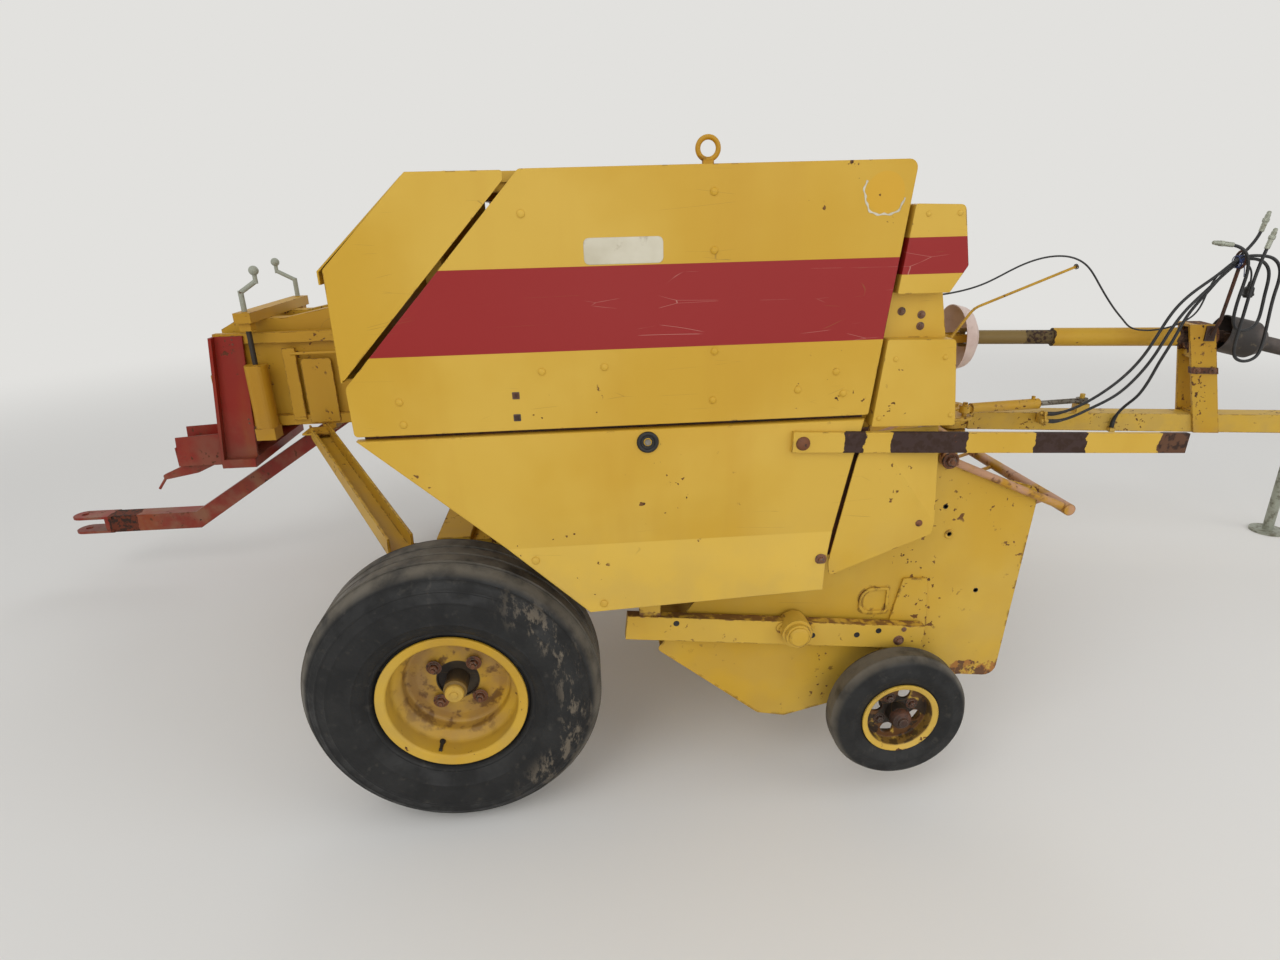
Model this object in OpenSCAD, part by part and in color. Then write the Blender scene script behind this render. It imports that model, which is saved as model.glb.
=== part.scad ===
// Conventional square baler: pickup and shields on the right, bale chamber on the left.
// Millimetres. X points forward, Y to the machine's left, Z up, floor at z = 0.
// Sizes are laid out from the axle (x = 0), the face of the right shields (y = 0) and the floor.

/* [Wheels] */
// Outer diameter of the two main tyres
tyre_d = 845; // [780:5:880]
// Width of a main tyre
tyre_w = 290; // [260:5:310]
// Diameter over the rim flanges of a main wheel
rim_d = 425; // [400:5:440]
// Width over the rim flanges of a main wheel
rim_w = 235; // [215:5:250]
// Radius of the stub axles
stub_r = 25; // [20:1:30]
// Outer diameter of the gauge wheel tyre
gauge_d = 406; // [360:2:420]
// Width of the gauge wheel tyre
gauge_w = 105; // [90:5:115]
// Clear width between the left wheel and its drop leg
left_gap = 46; // [40:1:60]
// Clear width between the right wheel and its drop leg
right_gap = 65; // [60:1:80]

/* [Bale chamber] */
// Clear width inside the chamber
bale_w = 460; // [440:5:470]
// Clear height inside the chamber
bale_h = 360; // [340:5:370]
// Height of the chamber floor above the ground
floor_z = 850; // [845:1:860]
// Left face of the right chamber wall
wall_y = 1630; // [1620:1:1640]
// Thickness of the chamber walls
wall_t = 8; // [5:1:10]
// Depth of the rails outside the chamber walls
rail_d = 27; // [20:1:30]
// Rear end of the chamber
chamber_back = -1190; // [-1230:5:-1150]
// Front end of the chamber
chamber_front = 1980; // [1960:5:2000]

/* [Shields] */
// Height of the top deck
deck_z = 1802; // [1790:2:1830]
// Sheet thickness of shields and covers
sheet_t = 4; // [3:0.5:5]
// Width of the folded edges of the shields
fold_w = 26; // [20:1:32]
// Height of the seam between the upper and the lower shield
seam_z = 1203; // [1195:1:1215]
// Gap at the seams between shields
seam_gap = 8; // [6:1:12]

/* [Pickup] */
// Inner face of the right pickup end sheet
pickup_y = 104; // [102:1:110]
// Clear width between the pickup end sheets
pickup_w = 1468; // [1440:2:1480]
// Forward place of the pickup hinge
hinge_x = 990; // [980:1:1000]
// Height of the pickup hinge
hinge_z = 560; // [555:1:565]
// Forward place of the tine reel shaft
reel_x = 1340; // [1335:1:1350]
// Height of the tine reel shaft
reel_z = 500; // [495:1:510]
// Radius of the circle that the tine tips run on
tip_r = 250; // [235:1:255]
// Outer radius of the stripper bands
band_r = 176; // [170:1:185]
// Width of a stripper band
band_w = 26; // [20:1:32]
// Distance from one stripper band to the next
band_pitch = 66; // [62:1:70]
// Number of stripper bands
bands = 22; // [20:1:22]

/* [Driveline] */
// Height of the flywheel shaft and of the driveline
drive_z = 1068; // [1060:1:1080]
// Outer diameter of the flywheel
flywheel_d = 680; // [600:10:700]
// Outer diameter of the sleeve of the driveline
drive_d = 90; // [85:1:95]
// Distance from the drawbar pivot to the bearing pedestal
pedestal_s = 1125; // [1100:5:1150]

/* [Drawbar] */
// Forward place of the drawbar pivot
pivot_x = 2350; // [2340:1:2360]
// Angle of the drawbar to the right in transport
swing = 12; // [11:1:13]
// Length of the drawbar from pivot to hitch pin
drawbar_l = 1870; // [1800:5:1900]
// Height of the top of the drawbar
drawbar_z = 688; // [680:1:695]
// Depth of the drawbar beam
drawbar_h = 92; // [88:1:100]
// Width of the drawbar beam
drawbar_w = 100; // [90:1:110]
// Diameter of the hitch pin hole
hitch_hole = 32; // [25:1:36]

/* [Rear hitch] */
// Rear end of the wagon hitch
tail_x = -2170; // [-2200:5:-2150]
// Height of the middle of the wagon hitch arm at its end
tail_z = 300; // [290:1:310]
// Side of the square hitch arm
arm_w = 86; // [80:1:95]

/* [Hidden] */

// The whole machine stands with the middle of its outline over the origin.
origin_x = 1030;
origin_y = 1209;
$fn = 48;

// Derived places shared by several pieces
near_y = wall_y - wall_t - rail_d;
left_y = wall_y + bale_w;
far_y = left_y + wall_t + rail_d;
roof_z = floor_z + bale_h;
chamber_y = wall_y + bale_w / 2;
tyre_r = tyre_d / 2;
run_gap = 0.05;
seat_gap = 0.3;
beam_h = 100;
beam_top = floor_z - 50;
leg_w = 120;
right_leg_y = rim_w + right_gap;
leg_t = 45;
pickup_far = pickup_y + pickup_w;
drawbar_mid = drawbar_z - drawbar_h / 2;

// Plane helpers: an outline in XZ made y .. y + t, an outline in YZ made x .. x + t
module plate_y(y, t) translate([0, y + t, 0]) rotate([90, 0, 0]) linear_extrude(t) children();
module plate_x(x, t) translate([x, 0, 0]) rotate([90, 0, 90]) linear_extrude(t) children();
module plate_z(z, t) translate([0, 0, z]) linear_extrude(t) children();
module block(x, y, z) translate([x[0], y[0], z[0]]) cube([x[1] - x[0], y[1] - y[0], z[1] - z[0]]);
module rod_y(x, z, y, r) translate([x, y[1], z]) rotate([90, 0, 0]) cylinder(h = y[1] - y[0], r = r);
module rod_x(y, z, x, r) translate([x[0], y, z]) rotate([0, 90, 0]) cylinder(h = x[1] - x[0], r = r);
module rod_z(x, y, z, r) translate([x, y, z[0]]) cylinder(h = z[1] - z[0], r = r);

// Round bar from point a to point b
module bar(a, b, r) {
    d = b - a;
    translate(a) rotate([0, acos(d[2] / norm(d)), atan2(d[1], d[0])]) cylinder(h = norm(d), r = r);
}

// Tube of radius r with n sides along the points p
function along(p, i) = unit(p[min(i + 1, len(p) - 1)] - p[max(i - 1, 0)]);
function ring_of(c, d, r, n) =
    let (u = unit(cross(d, [0, 1, 0])), v = cross(d, u))
    [for (k = [0:n - 1]) c + r * (cos(360 * k / n) * u + sin(360 * k / n) * v)];
module sweep(p, r, n) {
    m = len(p);
    polyhedron(
        points = [for (i = [0:m - 1]) each ring_of(p[i], along(p, i), r, n)],
        faces = [
            [for (k = [0:n - 1]) k],
            for (i = [0:m - 2], k = [0:n - 1]) each [
                [i * n + k, (i + 1) * n + k, i * n + (k + 1) % n],
                [i * n + (k + 1) % n, (i + 1) * n + k, (i + 1) * n + (k + 1) % n]
            ],
            [for (k = [n - 1:-1:0]) (m - 1) * n + k]
        ]
    );
}

// Outline with rounded corners: each point is [x, y, corner radius]
function unit(v) = v / norm(v);
function flat(p) = [p[0], p[1]];
function fillet(a, b, c, r, n) =
    r == 0 ? [b] :
    let (u = unit(a - b), v = unit(c - b), half = acos(u * v) / 2)
    let (mid = b + unit(u + v) * r / sin(half), s = b + u * r / tan(half), e = b + v * r / tan(half))
    let (a0 = atan2(s[1] - mid[1], s[0] - mid[0]), a1 = atan2(e[1] - mid[1], e[0] - mid[0]))
    let (turn = a1 - a0 > 180 ? a1 - a0 - 360 : a1 - a0 < -180 ? a1 - a0 + 360 : a1 - a0)
    [for (k = [0:n]) mid + r * [cos(a0 + turn * k / n), sin(a0 + turn * k / n)]];
function soften(p, n = 5) = let (m = len(p))
    [for (i = [0:m - 1]) each fillet(flat(p[(i + m - 1) % m]), flat(p[i]), flat(p[(i + 1) % m]), p[i][2], n)];
function arc(c, r, a0, a1, n) = [for (k = [0:n]) c + r * [cos(a0 + (a1 - a0) * k / n),
    sin(a0 + (a1 - a0) * k / n)]];

// Bent sheet: a line of points thickened by t to its left
function side(a, b) = let (d = unit(b - a)) [-d[1], d[0]];
function mitre(p, i, t) =
    let (m = len(p) - 1, n0 = side(p[max(i - 1, 0)], p[max(i, 1)]),
        n1 = side(p[min(i, m - 1)], p[min(i + 1, m)]))
    p[i] + (n0 + n1) * t / (1 + n0 * n1);
module strip(p, t) polygon(concat(p, [for (i = [len(p) - 1:-1:0]) mitre(p, i, t)]));

// Panel with a folded edge all round; its outer face is at y, the fold reaches inwards
module panel(outline, y, depth = fold_w) {
    plate_y(y, sheet_t) polygon(soften(outline));
    plate_y(y, depth) difference() {
        polygon(soften(outline));
        offset(delta = -sheet_t) polygon(soften(outline));
    }
}

// Wheels. The tyre and rim sections are drawn as [radius, distance inwards from the outer rim face].
tyre_in = (rim_w - tyre_w) / 2;
bead_r = rim_d / 2 - 22;
bead_in = 28 - tyre_in;
module tyre_section(w, r, bead, n) {
    polygon(soften([
        [bead + seat_gap, bead_in, 4], [rim_d / 2 + 8, bead_in - 12, 6], [bead + 0.38 * (r - bead), 0, 60],
        [r - 70, 7, 50], [r - 20, 38, 30], [r, 100, 60], [r, w - 100, 60], [r - 20, w - 38, 30],
        [r - 70, w - 7, 50],
        [bead + 0.38 * (r - bead), w, 60],
        [rim_d / 2 + 8, w - bead_in + 12, 6], [bead + seat_gap, w - bead_in, 4]
    ], n));
}
groove_w = 10;
module main_tyre() {
    color("#2e2f30") rotate_extrude($fn = 96) translate([0, tyre_in]) difference() {
        tyre_section(tyre_w, tyre_r, bead_r, 5);
        for (y = [0.25, 0.42, 0.58, 0.75]) translate([tyre_r - 16, tyre_w * y - groove_w / 2])
            square([30, groove_w]);
    }
}
disc_in = 118;
bolt_ring = 82;
hole_r = 60;
hub_r = 34;
hub_out = 52;
nut_turn = 41;
module main_rim() {
    color("#d9b23a") difference() {
        union() {
            rotate_extrude($fn = 96) polygon(soften([
                [rim_d / 2, 0, 3], [rim_d / 2, 10, 3], [bead_r, 24, 6], [bead_r - 0.5, 70, 20],
                [bead_r - 26, 92, 12],
                [bead_r - 26, 150, 12], [bead_r - 0.5, 172, 20], [bead_r, rim_w - 24, 6],
                [rim_d / 2, rim_w - 10, 3],
                [rim_d / 2, rim_w, 3], [bead_r - 7, rim_w - 6, 8], [bead_r - 8, 178, 20],
                [bead_r - 34, 156, 12],
                [bead_r - 34, disc_in + 22, 8], [120, disc_in + 8, 20], [hole_r, disc_in + 8, 0],
                [hole_r, disc_in, 0],
                [120, disc_in, 24], [bead_r - 36, disc_in + 6, 10], [bead_r - 34, 88, 12],
                [bead_r - 8, 66, 20],
                [bead_r - 7, 6, 8]
            ], 3));
            // Hub: flange behind the disc, barrel and cap in its hole, and four wheel nuts on their studs
            translate([0, 0, disc_in + 7]) cylinder(h = 16, r = bolt_ring + 24);
            translate([0, 0, hub_out + 8]) cylinder(h = rim_w - hub_out - 20, r = hub_r);
            translate([0, 0, hub_out]) cylinder(h = 9, r1 = hub_r - 12, r2 = hub_r - 4);
            for (a = [nut_turn:90:359]) rotate([0, 0, a]) translate([bolt_ring, 0, 0]) {
                translate([0, 0, disc_in - 16]) cylinder(h = 18, r = 15, $fn = 6);
                translate([0, 0, disc_in - 26]) cylinder(h = 28, r = 8);
            }
        }
        translate([0, 0, hub_out + 20]) cylinder(h = rim_w, r = stub_r + run_gap);
    }
}
module at_right_wheel() translate([0, 0, tyre_r]) rotate([-90, 0, 0]) children();
module at_left_wheel() translate([0, track_w, tyre_r]) rotate([90, 0, 0]) children();
module wheel_right() at_right_wheel() main_rim();
module wheel_left() at_left_wheel() main_rim();
module tyre_right() at_right_wheel() main_tyre();
module tyre_left() at_left_wheel() main_tyre();

// Axle: a box beam under the chamber with drop legs that carry the stub axles
left_leg_y = far_y + seat_gap;
left_leg_t = 36;
track_w = left_leg_y + left_leg_t + left_gap + rim_w;
module axle() {
    color("#d2a52c") {
        block([-beam_h / 2, beam_h / 2], [right_leg_y, left_leg_y + left_leg_t],
            [beam_top - beam_h, beam_top - seat_gap]);
        for (leg = [[right_leg_y, leg_t], [left_leg_y, left_leg_t]])
            plate_y(leg[0], leg[1]) polygon(soften([
                [-leg_w / 2, beam_top - beam_h + 10, 0], [-leg_w / 2, tyre_r, 50],
                [-leg_w / 2 + 20, tyre_r - 60, 40],
                [leg_w / 2 - 20, tyre_r - 60, 40], [leg_w / 2, tyre_r, 50],
                [leg_w / 2, beam_top - beam_h + 10, 0]
            ]));
        rod_y(0, tyre_r, [hub_out + 30, right_leg_y + 1], stub_r);
        rod_y(0, tyre_r, [rim_w + 8, right_leg_y + 1], stub_r + 15);
        rod_y(0, tyre_r, [left_leg_y + left_leg_t - 1, track_w - hub_out - 30], stub_r);
        rod_y(0, tyre_r, [left_leg_y + left_leg_t - 1, track_w - rim_w - 8], stub_r + 15);
    }
}

// Bale chamber
mouth = [260, 930];
rail_h = 46;
post_x = [-1130, -640, -260, 110, 1010, 1420, 1880];
module chamber_wall(y_in, dir, open) {
    // y_in is the inner face of the wall and dir points outwards along Y
    face = dir > 0 ? y_in : y_in - wall_t;
    rail = dir > 0 ? y_in + wall_t : y_in - wall_t - rail_d;
    top = roof_z + 40;
    color("#d9ae33") difference() {
        union() {
            block([chamber_back, chamber_front], [face, face + wall_t], [floor_z - 20, top]);
            for (z = [floor_z - 20, top - rail_h])
                block([chamber_back, chamber_front], [rail, rail + rail_d], [z, z + rail_h]);
            for (x = post_x)
                block([x, x + 50], [rail, rail + rail_d], [floor_z, top - 10]);
        }
        if (open) block(mouth, [near_y - 5, wall_y + 5], [floor_z, roof_z]);
    }
}
module chamber_right() {
    chamber_wall(wall_y, -1, true);
    // Folded strip, inspection door and latch rod behind the knotters
    color("#d9ae33") {
        plate_z(floor_z + 10, roof_z - floor_z - 40)
            strip([[-905, near_y + 2], [-905, near_y - 14], [-850, near_y - 14], [-850, near_y + 2]], 5);
        block([-905, -850], [near_y - 16, near_y + 3], [floor_z + 6, floor_z + 18]);
        plate_y(near_y - 6, 8) polygon(soften([
            [-836, floor_z - 12, 6], [-704, floor_z - 12, 6], [-704, roof_z - 80, 14], [-836, roof_z - 80, 14]
        ]));
        rod_x(near_y - 12, roof_z - 54, [-868, -640], 7);
        block([-660, -632], [near_y - 20, near_y + 3], [roof_z - 66, roof_z - 42]);
    }
    // Gland of the cable at the front end of the wall
    color("#3a3a38") on_drawbar() rod_z(cable_1[0][0], cable_1[0][1],
        [roof_z + 38, cable_1[0][2] - seat_gap], 8);
}
module chamber_left() {
    chamber_wall(left_y, 1, false);
    // Guide plate that stands out behind the red posts
    color("#d9ae33") plate_y(left_y, wall_t) polygon([
        [chamber_back - 288, floor_z - 128], [chamber_back - 75, floor_z - 128],
        [chamber_back - 50, floor_z - 18],
        [chamber_back + 5, floor_z - 18], [chamber_back + 5, floor_z + 126],
        [chamber_back - 288, floor_z + 126]
    ]);
}
needle_y = [chamber_y - 80, chamber_y + 80];
needle_slot = [-520, -60];
floor_front = 1240;
module chamber_floor() {
    color("#c9a03a") {
        difference() {
            block([chamber_back, floor_front], [wall_y + seat_gap, left_y - seat_gap],
                [floor_z - 8, floor_z]);
            for (y = needle_y) block(needle_slot, [y - 18, y + 18], [floor_z - 20, floor_z + 5]);
        }
        for (x = [chamber_back + 20, arm_top[0] + 30, -620, -30, 560, 1150, 1900])
            block([x, x + 60], [near_y, far_y], [beam_top, floor_z - 20 - seat_gap]);
        for (x = [chamber_back + 20, arm_top[0] + 30, -620, -30, 560, 1150])
            block([x, x + 60], [wall_y + 2, left_y - 2], [beam_top, floor_z - 4]);
    }
}
top_rail_w = 84;
bar_up = 92;
module chamber_top() {
    // Hay guides over the plunger run and the two spring-loaded rails behind the knotters
    color("#d9ae33") {
        difference() {
            block([-545, 1180], [wall_y + seat_gap, left_y - seat_gap], [roof_z, roof_z + 6]);
            for (y = needle_y) block(needle_slot, [y - 20, y + 20], [roof_z - 5, roof_z + 20]);
        }
        for (x = [-540, 200, 1130]) block([x, x + 40], [wall_y + seat_gap, left_y - seat_gap],
            [roof_z + 5, roof_z + 34]);
        for (y = [wall_y + 40, left_y - 40 - top_rail_w])
            plate_y(y, top_rail_w) polygon([
                [chamber_back + 10, roof_z - 30], [-600, roof_z], [-530, roof_z], [-530, roof_z + 60],
                [-600, roof_z + 150], [-900, roof_z + bar_up], [chamber_back + 90, roof_z + bar_up],
                [chamber_back + 10, roof_z + 50]
            ]);
    }
}

// Bale tension: crossbars above and below the rails, drawn together by springs and crank screws
crank_x = -1010;
screw_r = 11;
crank_side = [near_y - 52, far_y + 52];
module tension_gear() {
    bar_z = roof_z + bar_up + seat_gap;
    color("#8d9183") for (y = crank_side) {
        grip_x = crank_x + (y < chamber_y ? 70 : -80);
        rod_z(crank_x, y, [beam_top - 22, roof_z + 225], screw_r);
        bar([crank_x, y, roof_z + 218], [grip_x, y, roof_z + 262], screw_r - 1);
        rod_z(grip_x, y, [roof_z + 252, roof_z + 300], screw_r - 2);
        translate([grip_x, y, roof_z + 305]) sphere(r = 20);
    }
    color("#d2a52c") {
        block([crank_x - 35, crank_x + 35], [crank_side[0] - 40, crank_side[1] + 40], [bar_z, bar_z + 44]);
        for (y = crank_side) {
            plate_z(floor_z - 10, 280) polygon(soften([
                [crank_x - 46, y - 40, 34], [crank_x + 46, y - 40, 34], [crank_x + 46, y + 40, 34],
                [crank_x - 46, y + 40, 34]
            ]));
            block([crank_x - 24, crank_x + 24], [y - 26, y + 26], [bar_z - 34, bar_z + 2]);
            block([crank_x - 42, crank_x + 42], [y - 42, y + 42], [beam_top - 12, floor_z - 9]);
        }
    }
}

// Red frame at the back: posts, hitch arm and chute bracket
post_w = 130;
module hitch_posts() {
    color("#a8231c") {
        for (y = [near_y - 14 - seat_gap, far_y + seat_gap])
            plate_y(y, 14) polygon([
                [chamber_back - 60, floor_z - 160], [chamber_back + 90, floor_z - 160],
                [chamber_back + post_w, roof_z + 30], [chamber_back, roof_z + 30]
            ]);
        for (y = [near_y - 44 - seat_gap, far_y + seat_gap + 14])
            plate_y(y, 30.5) polygon([
                [chamber_back - 60, floor_z - 160], [chamber_back - 46, floor_z - 160],
                [chamber_back + 14, roof_z + 30], [chamber_back, roof_z + 30]
            ]);
        block([chamber_back - 60, chamber_back + 90], [near_y - 44, far_y + 44],
            [floor_z - 200, floor_z - 160]);
        block([chamber_back - 20, chamber_back + 10 - seat_gap], [near_y - 10, far_y + 10],
            [floor_z - 161, floor_z - 60]);
    }
}
arm_y = chamber_y;
arm_top = [-820, -700];
arm_elbow = -1553;
module hitch_arm() {
    color("#9a2a1e") difference() {
        union() {
            plate_y(arm_y - arm_w / 2, arm_w) polygon([
                [arm_top[0], beam_top - seat_gap], [arm_top[1], beam_top - seat_gap],
                [arm_elbow, tail_z - arm_w / 2],
                [tail_x + 160, tail_z - arm_w / 2], [tail_x + 160, tail_z + arm_w / 2],
                [arm_elbow - 10, tail_z + arm_w / 2]
            ]);
            for (z = [tail_z - arm_w / 2, tail_z + arm_w / 2 - 12])
                plate_z(z, 12) polygon(soften([
                    [tail_x + 200, arm_y - 50, 0], [tail_x, arm_y - 50, 48], [tail_x, arm_y + 50, 48],
                    [tail_x + 200, arm_y + 50, 0]
                ]));
        }
        rod_z(tail_x + 52, arm_y, [tail_z - 100, tail_z + 100], hitch_hole / 2);
    }
}
chute_y = [near_y + 30, near_y + 150];
module chute_bracket() {
    // Open trough for the bale chute with a lug and a tie rod below it
    front = chamber_back - 60 - seat_gap;
    back = chamber_back - 290;
    low = floor_z - 204;
    color("#8f2419") {
        block([back, front], chute_y, [low, low + 6]);
        plate_y(chute_y[0], 6) polygon([[back, low], [front, low], [front, low + 150],
            [back + 12, low + 138]]);
        plate_y(chute_y[1] - 6, 6) polygon([[back, low], [front, low], [front, low + 170],
            [back + 12, low + 160]]);
        block([back, back + 6], chute_y, [low, low + 90]);
        plate_y(chute_y[0] + 20, 12) polygon(soften([
            [front - 60, low + 3, 0], [back + 20, low + 3, 0], [back - 96, low - 46, 12],
            [back - 88, low - 68, 12],
            [front - 160, low - 40, 0]
        ]));
        bar([back - 78, chute_y[0] + 26, low - 50], [back - 126, chute_y[0] + 26, low - 112], 6);
    }
}
// Channel from the chamber down to the right end of the axle
brace_a = [-786, near_y - 62, floor_z - 34];
brace_b = [-175, right_leg_y + 60, beam_top - 44];
module brace() {
    d = brace_b - brace_a;
    color("#dcb544") {
        translate(brace_a) rotate([0, 0, atan2(d[1], d[0])]) rotate([0, -asin(d[2] / norm(d)),
            0]) difference() {
            translate([0, -40, -30]) cube([norm(d), 80, 60]);
            translate([-1, -32, -22]) cube([norm(d) + 2, 64, 60]);
        }
        block([brace_a[0] - 60, brace_a[0] + 60], [brace_a[1] - 50, near_y - seat_gap],
            [beam_top + 8, beam_top + 16]);
        block([brace_b[0] - 30, -beam_h / 2 - seat_gap], [right_leg_y, right_leg_y + 120],
            [beam_top - 80, beam_top - 66]);
    }
}

// Front frame under the gearbox with the fork for the drawbar pivot
fork_t = 16;
pin_r = 25;
fork_top = drawbar_z + 8;
fork_low = drawbar_z - drawbar_h - 8;
frame_end = 1985;
module front_frame() {
    color("#c9a03a") {
        for (z = [fork_top, fork_low - fork_t])
            plate_z(z, fork_t) polygon(soften([
                [1700, chamber_y - 150, 0], [1700, chamber_y + 150, 0], [pivot_x - 40, chamber_y + 90, 10],
                [pivot_x + 65, chamber_y + 60, 50], [pivot_x + 65, chamber_y - 60, 50],
                [pivot_x - 40, chamber_y - 90, 10]
            ]));
        for (y = [chamber_y - 150, chamber_y + 134])
            block([1700, frame_end], [y, y + 16], [fork_low - 2, beam_top - seat_gap]);
        block([1700, 1716], [chamber_y - 150, chamber_y + 150], [fork_low - 2, beam_top - seat_gap]);
        block([frame_end, 2110], [chamber_y - 130, chamber_y - 114], [fork_low - 2, fork_top + 2]);
        block([frame_end, 2110], [chamber_y + 114, chamber_y + 130], [fork_low - 2, fork_top + 2]);
        rod_z(pivot_x, chamber_y, [fork_low - fork_t - 14, fork_top + fork_t + 12], pin_r);
        // Lug that carries the foot of the swing ram
        plate_z(fork_top, fork_t) polygon(soften([
            [2110, chamber_y - 110, 0], [2200, ram_foot[1] - 40, 20],
            [ram_foot[0] + 38, ram_foot[1] - 38, 36],
            [ram_foot[0] + 38, ram_foot[1] + 38, 36], [2290, chamber_y - 80, 0]
        ]));
        rod_z(ram_foot[0], ram_foot[1], [fork_top + 1, ram_z + 32], ram_pin_r);
    }
}
// Main gearbox over the front of the chamber, with the crank for the plunger
wheel_back = chamber_front + 24;
box_x = [wheel_back - 394, wheel_back - 124];
module gearbox() {
    color("#b8962f") {
        difference() {
            plate_y(chamber_y - 110, 220) polygon(soften([
                [box_x[0], drive_z - 150, 20], [box_x[1], drive_z - 150, 20],
                [box_x[1] + 20, drive_z + 60, 30],
                [box_x[1] - 60, drive_z + 190, 60], [box_x[0] + 40, drive_z + 190, 60],
                [box_x[0] - 20, drive_z + 40, 30]
            ]));
            rod_x(chamber_y, drive_z, [box_x[1] - 60, box_x[1] + 300], shaft_r + run_gap);
        }
        difference() {
            rod_x(chamber_y, drive_z, [box_x[1] - 5, chamber_front + 6], 70);
            rod_x(chamber_y, drive_z, [box_x[1] - 60, box_x[1] + 300], shaft_r + run_gap);
        }
        block([box_x[0] + 20, box_x[1] - 20], [chamber_y - 108, left_y - seat_gap],
            [drive_z - 150, drive_z - 110]);
        block([box_x[1] - 70, box_x[1] - 20], [wall_y + seat_gap, chamber_y - 100],
            [drive_z - 110, drive_z - 60]);
        rod_y(crank_at[0], crank_at[1], [chamber_y - 130, chamber_y - 109], 45);
        plate_y(chamber_y - 150, 26) hull() {
            translate([crank_at[0], crank_at[1] - throw]) circle(r = 48, $fn = 32);
            translate(crank_at) circle(r = 60, $fn = 32);
        }
        rod_y(crank_at[0], crank_at[1] - throw, [chamber_y - 200, chamber_y - 149], crank_pin_r);
    }
}
crank_at = [box_x[0] + 120, drive_z + 20];
throw = 150;
crank_pin_r = 28;
shaft_r = 30;
wheel_t = 60;
hub_end = 220;
ball_r = 30;
module flywheel() {
    // Heavy rim, web with lightening holes, slip clutch and the rear fork of the driveline
    joint = pivot_x - wheel_back;
    color("#a9852c") on_flywheel() difference() {
        union() {
            rotate_extrude($fn = 96) polygon(soften([
                [0, 0, 0], [95, 0, 4], [95, 14, 6], [flywheel_d / 2 - 55, 14, 6],
                [flywheel_d / 2 - 45, -2, 6],
                [flywheel_d / 2, -2, 6], [flywheel_d / 2, wheel_t, 6], [flywheel_d / 2 - 45, wheel_t, 6],
                [flywheel_d / 2 - 55, 34, 6], [95, 34, 6], [95, 90, 10], [70, 130, 6], [45, 150, 4],
                [45, hub_end, 4], [0, hub_end, 0]
            ], 3));
            translate([-20, -ball_r - 14, hub_end - 4]) cube([40, 2 * ball_r + 28, joint - hub_end + 20]);
            translate([0, 0, -120]) cylinder(h = 130, r = shaft_r);
        }
        for (a = [0:60:300]) rotate([0, 0, a]) translate([195, 0, -10]) cylinder(h = 80, r = 45);
        translate([-40, -ball_r - seat_gap, hub_end + 40]) cube([80, 2 * (ball_r + seat_gap), 200]);
    }
}
module on_flywheel() translate([wheel_back, chamber_y, drive_z]) rotate([0, 90, 0]) children();

// Plunger part way through its stroke, with its connecting rod
plunger_x = [900, 1180];
module plunger() {
    color("#7c7468") {
        difference() {
            block(plunger_x, [wall_y + seat_gap, left_y - seat_gap], [floor_z + seat_gap, roof_z - seat_gap]);
            block([plunger_x[0] + 40, plunger_x[1] + 10], [wall_y + 30, left_y - 30],
                [floor_z + 30, roof_z - 30]);
            for (y = needle_y) block([plunger_x[0] - 20, plunger_x[0] + 60], [y - 16, y + 16],
                [floor_z - 5, roof_z + 5]);
        }
        difference() {
            union() {
                bar([plunger_x[0] + 22, chamber_y - 120, floor_z + 170],
                    [crank_at[0], chamber_y - 178, crank_at[1] - throw], 24);
                rod_y(crank_at[0], crank_at[1] - throw, [chamber_y - 200, chamber_y - 152], 46);
            }
            rod_y(crank_at[0], crank_at[1] - throw, [chamber_y - 240, chamber_y - 140],
                crank_pin_r + run_gap);
        }
    }
}

// Knotters: cross shaft on bearings, two cam discs, twine discs and bill hooks
knot_x = -340;
knot_z = roof_z + 190;
module knotters() {
    color("#6f6a5e") {
        rod_y(knot_x, knot_z, [near_y - 20, far_y + 20], 20);
        for (y = needle_y) {
            rod_y(knot_x, knot_z, [y - 14, y + 14], 130);
            plate_y(y + 30, 12) polygon(soften([
                [knot_x - 40, roof_z + 34, 0], [knot_x + 130, roof_z + 34, 0],
                [knot_x + 120, knot_z - 60, 20],
                [knot_x + 40, knot_z + 45, 30], [knot_x - 45, knot_z + 45, 30]
            ]));
            rod_y(knot_x + 115, knot_z - 110, [y - 22, y + 34], 38);
            bar([knot_x + 60, y + 4, knot_z - 90], [knot_x + 30, y + 4, roof_z + 20], 14);
        }
        rod_y(knot_x, knot_z, [far_y + 16, far_y + 44], 105);
    }
    color("#c9a03a") for (y = [near_y + 4, far_y - 22])
        plate_y(y, 18) polygon(soften([
            [knot_x - 90, roof_z + 40 + seat_gap, 0], [knot_x + 150, roof_z + 40 + seat_gap, 0],
            [knot_x + 60, knot_z + 50, 40], [knot_x - 50, knot_z + 50, 40]
        ]));
}
yoke = [-90, 815];
yoke_r = 336;
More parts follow.
